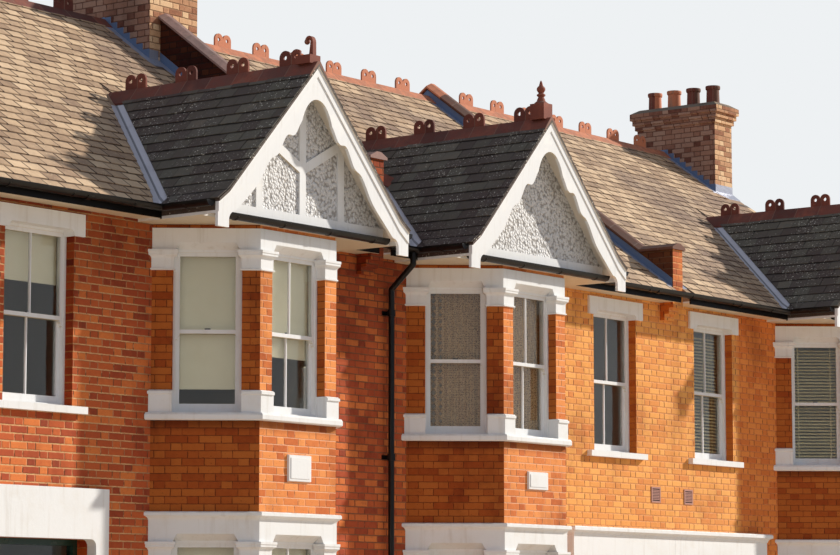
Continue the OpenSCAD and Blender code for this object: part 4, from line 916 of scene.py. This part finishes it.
# Gutters and the downpipe: cast iron under black gloss paint, hung on brackets
# screwed to the fascia.
on = grimed("black_iron", shine=0.3, scale=2.0)
face = coats(mix(on.patch * 0.5, (14, 14, 15), (36, 34, 33)),
             (on.ledge * 0.4, (70, 66, 60)))
iron = lay(on, face, on.grain * 0.5 + noise(on.place, 40.0), depth=0.0012, strength=0.6,
           rough=ease(on.patch, 0.0, 1.0, 0.28, 0.5))
dress(iron, "gutters", "downpipe")

# Unions and brackets of the gutters: cast collars over the joints and straps
# screwed to the fascia, under every length of gutter.
gutter_y, gutter_z, gutter_r, gutter_end = -0.3843, 6.150, 0.062, 9.342
side_off, side_y = 1.5923, -0.72
brow_y, brow_z = -0.9163, 6.0731
strap_gap, union_off = 0.9, 0.22

# One shape set out at many spots, each with its own turn and stretch
set_out_tree, given, end = new_tree("set_out", "GeometryNodeTree", {
    "Spots": "Geometry", "Shape": "Object", "Finish": "Material"}, ("Geometry",), "Geometry")
shape = flow(set_out_tree, "GeometryNodeObjectInfo", {"Object": given["Shape"]}, "Geometry")
placed = flow(set_out_tree, "GeometryNodeInstanceOnPoints", {
    "Points": given["Spots"], "Instance": shape,
    "Rotation": vector(0.0, 0.0, read(set_out_tree, "turn")),
    "Scale": read(set_out_tree, "grow", "FLOAT_VECTOR")})
close(then(placed, "RealizeInstances", {}), ("turn", "grow"), given["Finish"], end)


def set_out(name, shape, spots, finish):
    """A piece of like parts, one at each spot (x, y, z, turn) with or without its stretch."""
    model = put(name + "_one", shape)
    grow = [k for spot in spots for k in (spot[4] if len(spot) > 4 else (1.0, 1.0, 1.0))]
    piece = grown(name, set_out_tree, {"Shape": model, "Finish": finish},
                  [spot[:3] for spot in spots],
                  {"turn": ("FLOAT", "value", [spot[3] for spot in spots]),
                   "grow": ("FLOAT_VECTOR", "vector", grow)})
    bpy.data.objects.remove(model)
    return keep_piece(piece)


def collar(outer, length):
    """A half ring below a gutter that runs along x."""
    arc = [math.pi * (1.17 + 0.66 * k / 12) for k in range(13)]
    ring = [(radius * math.cos(a), radius * math.sin(a))
            for radius, angles in ((outer, arc), (gutter_r * 0.99, arc[::-1])) for a in angles]
    return prism(ring, -length / 2, length / 2, sideways)


stops = [-gutter_end, *[x + s * side_off for x in bay_xs for s in (-1, 1)], gutter_end]
straps, unions = [], []
for y, spans in ((gutter_y, list(zip(stops[::2], stops[1::2]))),
                 (2 * ridge_y - gutter_y, [(-gutter_end, gutter_end)])):
    for low, high in spans:
        count = max(1, round((high - low) / strap_gap))
        spots = [(low + (high - low) * (k + 0.5) / count, y, gutter_z, 0.0)
                 for k in range(count)]
        straps += spots
        unions += [(spot[0] + union_off, *spot[1:]) for spot in spots[1::2]]
straps += [(x + s * side_off, side_y, gutter_z, math.pi / 2) for x in bay_xs for s in (-1, 1)]
straps += [(x + off, brow_y, brow_z, 0.0) for x in bay_xs for off in (-1.1, -0.37, 0.37, 1.1)]
set_out("gutter_straps", collar(gutter_r + 0.006, 0.022), straps, iron)
set_out("gutter_unions", collar(gutter_r + 0.009, 0.075), unions, iron)

# The doors: softwood frames, stiles and panels, wedged and glued at their joints
# and finished in dark green gloss paint.
on = grimed("door_paint", scale=2.0)
door_paint = lay(on, mix(on.patch * 0.5, (28, 58, 48), (40, 72, 60)),
                 noise(stretch(on.place, wood_grain), 1.0, 4.0), depth=0.001, strength=0.7,
                 rough=ease(on.patch, 0.0, 1.0, 0.22, 0.4))
dress(door_paint, "front_doors", "rear_doors")

# The floors: softwood boards nailed to joists, with a plastered ceiling below
# them on the underside of each plate.
board_w = 0.15
on = grimed("floor_boards", rough=0.6)
y = parts(on.place)[1]
board = (y / board_w).floor()
split = (y - board * board_w).least((board + 1.0) * board_w - y)
tone = chance(vector(board, 1.0, 2.0))
wood = noise(stretch(on.place, (3.0, 40.0, 40.0)), 1.0, 5.0)
face = coats(
    ramp(tone * 0.4 + wood * 0.6, [(0.0, 108, 76, 46), (0.5, 150, 112, 72), (1.0, 186, 148, 104)]),
    (ease(split, 0.001, 0.003).rest(), (40, 28, 20)),
    ((parts(on.facing)[2] * -1.0).over(0.5), (226, 222, 212)))
boards = lay(on, face, wood + ease(split, 0.001, 0.003), depth=0.001, strength=0.6)
dress(boards, "ground_floor", "upper_floor")

# Glazing bars, horns and catches: moulded softwood bars tenoned into the sashes of
# the wider windows, a horn under each stile of the upper sash that strengthens its
# joint, and an iron catch screwed to the meeting rails.
frame_w, sash_w, sash_t, sash_foot, sash_y = 0.026, 0.040, 0.042, 0.036, 0.119
bar_half, bar_deep, horn_h = 0.011, 0.019, 0.062
opening_z = {"low": (1.143, 2.836), "high": (4.114, 5.775)}
single_z, rear_low_z = (4.108, 5.840), (1.137, 2.690)
single_xs = (-8.0795, 1.9265, 4.2265)
front_w, cant_w, single_w, rear_w = 0.845, 0.696, 0.94, 1.0
rear_side, pier_reach = 1.5013, 0.213 + 0.348
sides = ("left", "front", "right")
upright = Matrix(((1, 0, 0, 0), (0, 0, 1, 0), (0, 1, 0, 0), (0, 0, 0, 1)))


class Window:
    """A sash window: where it stands, its turn, its size and its upright bars."""

    def __init__(self, x, y, angle, width, foot_and_head, bars=0):
        self.x, self.y, self.angle, self.width, self.bars = x, y, angle, width, bars
        self.foot, self.head = foot_and_head
        self.inner = width - 2 * frame_w
        self.sash_h = (self.head - self.foot - 2 * frame_w + sash_w) / 2
        self.meeting = self.head - frame_w - self.sash_h

    def spot(self, x, y, z, grow=(1.0, 1.0, 1.0), turn=0.0):
        """A spot for set_out: x runs across the window and y into the room."""
        c, s = math.cos(self.angle), math.sin(self.angle)
        return (self.x + c * x - s * y, self.y + s * x + c * y, z, self.angle + turn, grow)

    def carry(self, mesh):
        """Moves a mesh made at the origin to the window."""
        mesh.transform(Matrix.Translation((self.x, self.y, 0))
                       @ Matrix.Rotation(self.angle, 4, "Z"))
        return mesh


windows = {}
for h, bay_x in enumerate(bay_xs, 1):
    for storey, foot_and_head in opening_z.items():
        windows[h, storey, "front"] = Window(bay_x, -bay_depth, 0.0, front_w, foot_and_head, 1)
        for side, s in (("left", -1), ("right", 1)):
            windows[h, storey, side] = Window(
                bay_x + s * (bay_half - math.cos(cant) * pier_reach),
                -math.sin(cant) * pier_reach, s * cant, cant_w, foot_and_head)
    windows[h, "high", "single"] = Window(single_xs[h - 1], 0.0, 0.0, single_w, single_z, 1)
    rear_xs = (party_xs[h - 1] + wall_t / 2 + rear_side, party_xs[h] - wall_t / 2 - rear_side)
    windows[h, "low", "rear"] = Window(rear_xs[0], house_d, math.pi, rear_w, rear_low_z, 1)
    for x, side in zip(rear_xs, ("rear", "rear_two")):
        windows[h, "high", side] = Window(x, house_d, math.pi, rear_w, single_z, 1)

bars, horns, catches = [], [], []
for one in windows.values():
    low = one.foot + frame_w + sash_w + sash_foot
    for foot, top, y in (
            (low, one.foot + frame_w + one.sash_h - sash_w, sash_y + sash_t * 1.5),
            (one.meeting + sash_w, one.head - frame_w - sash_w, sash_y + sash_t / 2)):
        bars += [one.spot(0.0, y, foot, (1.0, 1.0, top - foot))] * one.bars
    horns += [one.spot(-one.inner / 2, sash_y, one.meeting),
              one.spot(one.inner / 2, sash_y + sash_t, one.meeting, turn=math.pi)]
    catches.append(one.spot(0.0, sash_y + sash_t, one.meeting + sash_w))


def both_sides(half):
    """A closed outline of its right half, given from the foot up."""
    return half + [(-a, b) for a, b in half[::-1]]


bar_outline = both_sides([(0.006, -bar_deep), (bar_half, -0.004), (bar_half, 0.010),
                          (0.004, bar_deep)])
horn_outline = [(0.0, 0.002), (sash_w, 0.002), (sash_w, -0.016), (sash_w - 0.004, -0.022),
                (sash_w - 0.013, -0.027), (sash_w - 0.018, -0.036), (sash_w - 0.018, -0.047),
                (sash_w - 0.025, -horn_h + 0.004), (sash_w - 0.031, -horn_h), (0.0, -horn_h)]
catch_outline = [(b, a) for a, b in both_sides([
    (0.004, -0.030), (0.010, -0.026), (0.013, 0.012), (0.006, 0.030)])]
set_out("glazing_bars", prism(bar_outline, 0.0, 1.0), bars, white_paint)
set_out("sash_horns", prism(horn_outline, 0.0, sash_t, upright), horns, white_paint)
set_out("sash_catches", prism(catch_outline, -0.002, 0.016), catches, iron)

# Roller blinds: a pale stiffened cotton that winds on a tube at the head of the
# window, with a wooden lath sewn into its hem. Each hangs flat and unlined.
roller_r, roller_drop, cloth_y, cloth_t, hem_h = 0.016, 0.006, 0.2135, 0.0012, 0.028
threads = 5200.0
drops = {(1, "high", "left"): 4.366, (1, "high", "front"): 4.72, (1, "high", "right"): 4.72,
         (1, "high", "single"): 5.306,
         **{(h, "low", side): foot for h, foot in ((1, 2.42), (3, 2.1)) for side in sides}}
on = grimed("blind_cloth", rough=0.9, shine=0.2)
x, y, z = parts(on.place)
weave = (z * threads).to("SINE") * ((x + y) * threads).to("SINE") * 0.5 + 0.5
face = coats(mix(on.patch * 0.5, (240, 234, 210), (224, 216, 188)),
             (weave * 0.18, (186, 176, 148)))
blind_cloth = lay(on, face, weave + on.grain * 0.3, depth=0.0006, strength=0.5)


def circle(radius, count, middle=0.0):
    """Points round a circle that stands at this place on x."""
    angles = [math.tau * k / count for k in range(count)]
    return [(middle + radius * math.cos(a), radius * math.sin(a)) for a in angles]


def hanging(width, low, high, across, down, shift, thick):
    """A closed thin cloth that hangs in the plane y = 0, each point put back by shift(x, z)."""
    row, count = across + 1, (across + 1) * (down + 1)
    grid = [(width * (i / across - 0.5), low + (high - low) * j / down)
            for j in range(down + 1) for i in range(row)]
    points = [(x, shift(x, z) + side * thick, z) for side in (0, 1) for x, z in grid]
    faces = [(j * row + i, j * row + i + 1, (j + 1) * row + i + 1, (j + 1) * row + i)
             for j in range(down) for i in range(across)]
    faces += [tuple(count + k for k in face[::-1]) for face in faces]
    rim = [*range(across), *[j * row + across for j in range(down)],
           *[down * row + across - k for k in range(across)],
           *[(down - j) * row for j in range(down)]]
    faces += [(a, a + count, b + count, b) for a, b in zip(rim, rim[1:] + rim[:1])]
    mesh = bpy.data.meshes.new("cloth")
    mesh.from_pydata(points, [], faces)
    return outward(mesh)


set_out("blind_rollers", prism(circle(roller_r, 16, cloth_y - roller_r), -0.5, 0.5, sideways), [
    one.spot(0.0, 0.0, one.head - frame_w - roller_r - roller_drop, (one.inner, 1.0, 1.0))
    for one in [windows[key] for key in drops]], white_paint)
for (h, storey, side), bottom in drops.items():
    one = windows[h, storey, side]
    width = one.inner - 0.012
    top = one.head - frame_w - roller_r - roller_drop

    def curl(x, z):
        """Edges that curl a little towards the room, more so lower down."""
        return cloth_y + 0.004 * (2 * x / width) ** 4 * (top - z) / (top - bottom)

    cloth = hanging(width, bottom, top, 12, 16, curl, cloth_t)
    lath = prism([(-0.003, 0.0), (0.004, 0.0), (0.0055, 0.006), (0.0055, hem_h - 0.004),
                  (0.004, hem_h), (-0.003, hem_h)], -width / 2, width / 2, sideways)
    lath.transform(Matrix.Translation((0, cloth_y + 0.002, bottom)))
    name = f"blind_{h}_{storey}_{side}"
    blind = joined(name, [one.carry(cloth)], blind_cloth)
    hem = joined(name + "_lath", [one.carry(lath)], blind_cloth)
    top - bottom + 0.04

# Lace curtains: cream cotton lace gathered on a thin rod inside the upper windows
# of the second bay, an all-over sprig with a border of open diamonds down the left.
rod_r, rod_y, rod_drop, lace_wave, lace_swing, lace_t = 0.007, 0.236, 0.045, 0.075, 0.010, 0.0012
diamond_step, holes = 0.08, 420.0
on = Surface("lace", rough=0.9, shine=0.15)
mark = flow(on.tree, "ShaderNodeUVMap", uv_map="lace")
u, v, _ = parts(mark)
petals = ease(speckle(mark, 52.0, 0.35) + (noise(mark, 60.0, 2.0) - 0.5) * 0.5, 0.30, 0.42)
net = reduce(Value.most, [(k * holes).to("SINE").size() for k in (u, v)])
net = ease(net, 0.45, 0.8, 0.55, 1.0)
in_step = ((v / diamond_step).to("FRACT") - 0.5).size() * diamond_step
diamonds = reduce(Value.least, [
    (u - middle).size() / half_w + in_step / half_h
    for middle, half_w, half_h in ((0.090, 0.034, 0.040), (0.180, 0.022, 0.026))])
solid = (petals * 0.28 + 0.72) * ease(diamonds, 0.8, 1.1, 0.1, 1.0)
wire((solid * 0.8 + 0.2) * net, on.shader.inputs["Alpha"])
lace = lay(on, mix(petals, (132, 104, 78), (196, 166, 130)), petals + net,
           depth=0.0010, strength=0.5)
lace_windows = [windows[2, "high", side] for side in sides]
set_out("lace_rods", prism(circle(rod_r, 10), -0.5, 0.5, sideways), [
    one.spot(0.0, rod_y, one.head - rod_drop, (one.width + 0.006, 1.0, 1.0))
    for one in lace_windows], white_paint)
for side, one in zip(sides, lace_windows):
    width, top, bottom = one.inner, one.head - 0.036, one.foot + 0.03

    def fold(x, z):
        """Soft folds that open towards the foot."""
        wide = lace_swing * (0.8 + 0.4 * (top - z) / (top - bottom))
        return rod_y + wide * math.sin(math.tau * x / lace_wave + 0.8 * math.sin(3 * x + z))

    cloth = hanging(width, bottom, top, 88, 14, fold, lace_t)
    layer = cloth.uv_layers.new(name="lace")
    xs = sorted({round(point.co.x, 5) for point in cloth.vertices})
    run = {xs[0]: 0.0}
    for before, x in zip(xs, xs[1:]):
        run[x] = run[before] + math.hypot(x - before, fold(x, 5.0) - fold(before, 5.0))
    for loop in cloth.loops:
        place = cloth.vertices[loop.vertex_index].co
        layer.data[loop.index].uv = (run[round(place.x, 5)], place.z)
    curtain = joined(f"lace_2_{side}", [one.carry(cloth)], lace)
    top - bottom + 0.05

# Slatted blinds: bowed limewood slats on ladder tapes under a boxed head rail, in
# the third house's upper windows, tilted to shut out the low sun.
slat_half, slat_t, slat_bow, slat_pitch, slat_tilt = 0.025, 0.0026, 0.003, 0.043, math.radians(32)
slat_y, slat_foot, tape_off, rail_h = 0.243, 0.04, 0.0225, 0.045
on = grimed("blind_slats", rough=0.5, shine=0.4)
tone = chance(vector((parts(on.place)[2] / slat_pitch).floor(), 1.0, 4.0))
wood = noise(stretch(on.place, (5.0, 60.0, 60.0)), 1.0, 4.0)
slats_paint = lay(on, mix(tone * 0.4 + wood * 0.4, (232, 218, 172), (192, 174, 126)),
                  wood + on.grain * 0.3, depth=0.0008, strength=0.6)
bowed = [(t * slat_half, slat_bow * (1 - t * t)) for t in (-1.0, -0.4, 0.4, 1.0)]
bowed += [(a, b - slat_t) for a, b in bowed[::-1]]
cos_s, sin_s = math.cos(slat_tilt), math.sin(slat_tilt)
tilted = [(a * cos_s - b * sin_s, a * sin_s + b * cos_s) for a, b in bowed]
slats, tapes, rails = [], [], []
for one in [windows[3, "high", side] for side in (*sides, "single")]:
    top, bottom = one.head - 0.047, one.foot + frame_w + 0.03
    slats += [one.spot(0.0, slat_y, bottom + slat_foot + slat_pitch * k,
                       (one.inner - 0.01, 1.0, 1.0))
              for k in range(int((top - bottom - 0.05) / slat_pitch))]
    tapes += [one.spot(share * one.inner, slat_y + off, bottom, (1.0, 1.0, top - bottom))
              for share in (-0.34, 0.34) for off in (-tape_off, tape_off)]
    rails += [one.spot(0.0, slat_y - 0.002, z, (one.inner - 0.004, 1.0, tall))
              for z, tall in ((top, 1.0), (bottom, 0.42))]
tape_outline = both_sides([(0.004, -0.0005), (0.004, 0.0005)])
rail_outline = both_sides([(0.022, 0.0), (0.025, 0.003), (0.025, 0.042), (0.022, rail_h)])
set_out("blind_slats", prism(tilted, -0.5, 0.5, sideways), slats, slats_paint)
set_out("blind_tapes", prism(tape_outline, 0.0, 1.0), tapes, slats_paint)
set_out("blind_rails", prism(rail_outline, -0.5, 0.5, sideways), rails, slats_paint)

# Plates and air bricks: a blank cast plate screwed to two of the bay fronts, and two
# clay gratings with level louvres, bedded in the wall, that air the floor behind.
to_street = Matrix(((1, 0, 0, 0), (0, 0, -1, 0), (0, 1, 0, 0), (0, 0, 0, 1)))
plate_back, plate_front, plate_bevel, plate_rim = 0.010, 0.024, 0.010, 0.030
grate_rim, grate_out, grate_in, louvres, louvre_half = 0.022, 0.010, 0.01, 7, 0.006
plates = []
for x0, x1, z0, z1 in ((-5.351, -4.983, 3.441, 3.721), (-1.142, -0.750, 3.512, 3.723)):
    rim = plate_rim
    plates += [hipped(x0, x1, z0, z1, -plate_back, plate_front, plate_bevel),
               hipped(x0 + rim, x1 - rim, z0 + rim, z1 - rim, 0.0, plate_front + 0.006, 0.005)]
for mesh in plates:
    mesh.transform(Matrix.Translation((0, -bay_depth, 0)) @ to_street)
joined("bay_plates", plates, painted_stone)
grates, backs = [], []
for x0, x1, z0, z1 in ((2.715, 2.925, 3.517, 3.715), (3.480, 3.684, 3.516, 3.708)):
    left, right, foot, head = x0 + grate_rim, x1 - grate_rim, z0 + grate_rim, z1 - grate_rim
    backs.append(slab((left, -0.003, foot), (right, 0.004, head)))
    bands = [(x0, left, z0, z1), (right, x1, z0, z1), (left, right, z0, foot),
             (left, right, head, z1)]
    grates += [slab((a, -grate_out, c), (b, grate_in, d)) for a, b, c, d in bands]
    heights = [foot + (head - foot) * k / (louvres + 1) for k in range(1, louvres + 1)]
    grates += [slab((left, 0.002 - grate_out, z - louvre_half), (right, grate_in, z + louvre_half))
               for z in heights]
joined("air_bricks", grates, clay)
joined("air_brick_backs", backs, iron)

# Door furniture: a turned iron knob, a letter plate with its flap and a ring
# knocker on a boss, bolted through the front doors.
leaf_y, leaf_w, frame_half, knob_off = 0.155, 0.838, 0.7305, 0.33
plate_z, knob_z, knocker_z = 1.12, 1.30, 1.72
ring_r, wire_r, ring_out = 0.052, 0.007, 0.020
knobs, letter_plates, knockers = [], [], []
for porch_x, hand in ((-8.161, 1), (2.008, -1), (4.145, 1)):
    low_x = porch_x - frame_half if hand > 0 else porch_x + frame_half - leaf_w
    knobs.append((low_x + leaf_w / 2 + hand * knob_off, leaf_y, knob_z, 0.0))
    letter_plates.append((low_x + leaf_w / 2, leaf_y, plate_z, 0.0))
    knockers.append((low_x + leaf_w / 2, leaf_y, knocker_z, 0.0))


def turned(profile, sides=20):
    """A closed turned shape that stands out of a door along -y; profile is (radius, out)."""
    return ringed([[(x, -out, z) for x, z in circle(r, sides)] for r, out in profile])


set_out("door_knobs", turned([
    (0.030, -0.002), (0.030, 0.004), (0.016, 0.008), (0.012, 0.024), (0.022, 0.032),
    (0.033, 0.044), (0.035, 0.054), (0.030, 0.064), (0.018, 0.070), (0.006, 0.072)]),
    knobs, iron)
set_out("knocker_bosses", turned([
    (0.034, -0.002), (0.034, 0.006), (0.026, 0.012), (0.022, 0.026), (0.012, 0.034),
    (0.004, 0.036)]), knockers, iron)
ring = ringed([[(wide * sin_a, -ring_out - off, -ring_r + wide * cos_a)
                for wide, off in circle(wire_r, 10, ring_r)]
               for cos_a, sin_a in circle(1.0, 28)], looped=True)
set_out("knocker_rings", ring, knockers, iron)
letter = merged("letter", [hipped(-0.135, 0.135, -0.040, 0.040, -0.002, 0.008, 0.006),
                           hipped(-0.105, 0.105, -0.022, 0.022, 0.004, 0.013, 0.004)])
letter.transform(to_street)
set_out("letter_plates", letter, letter_plates, iron)
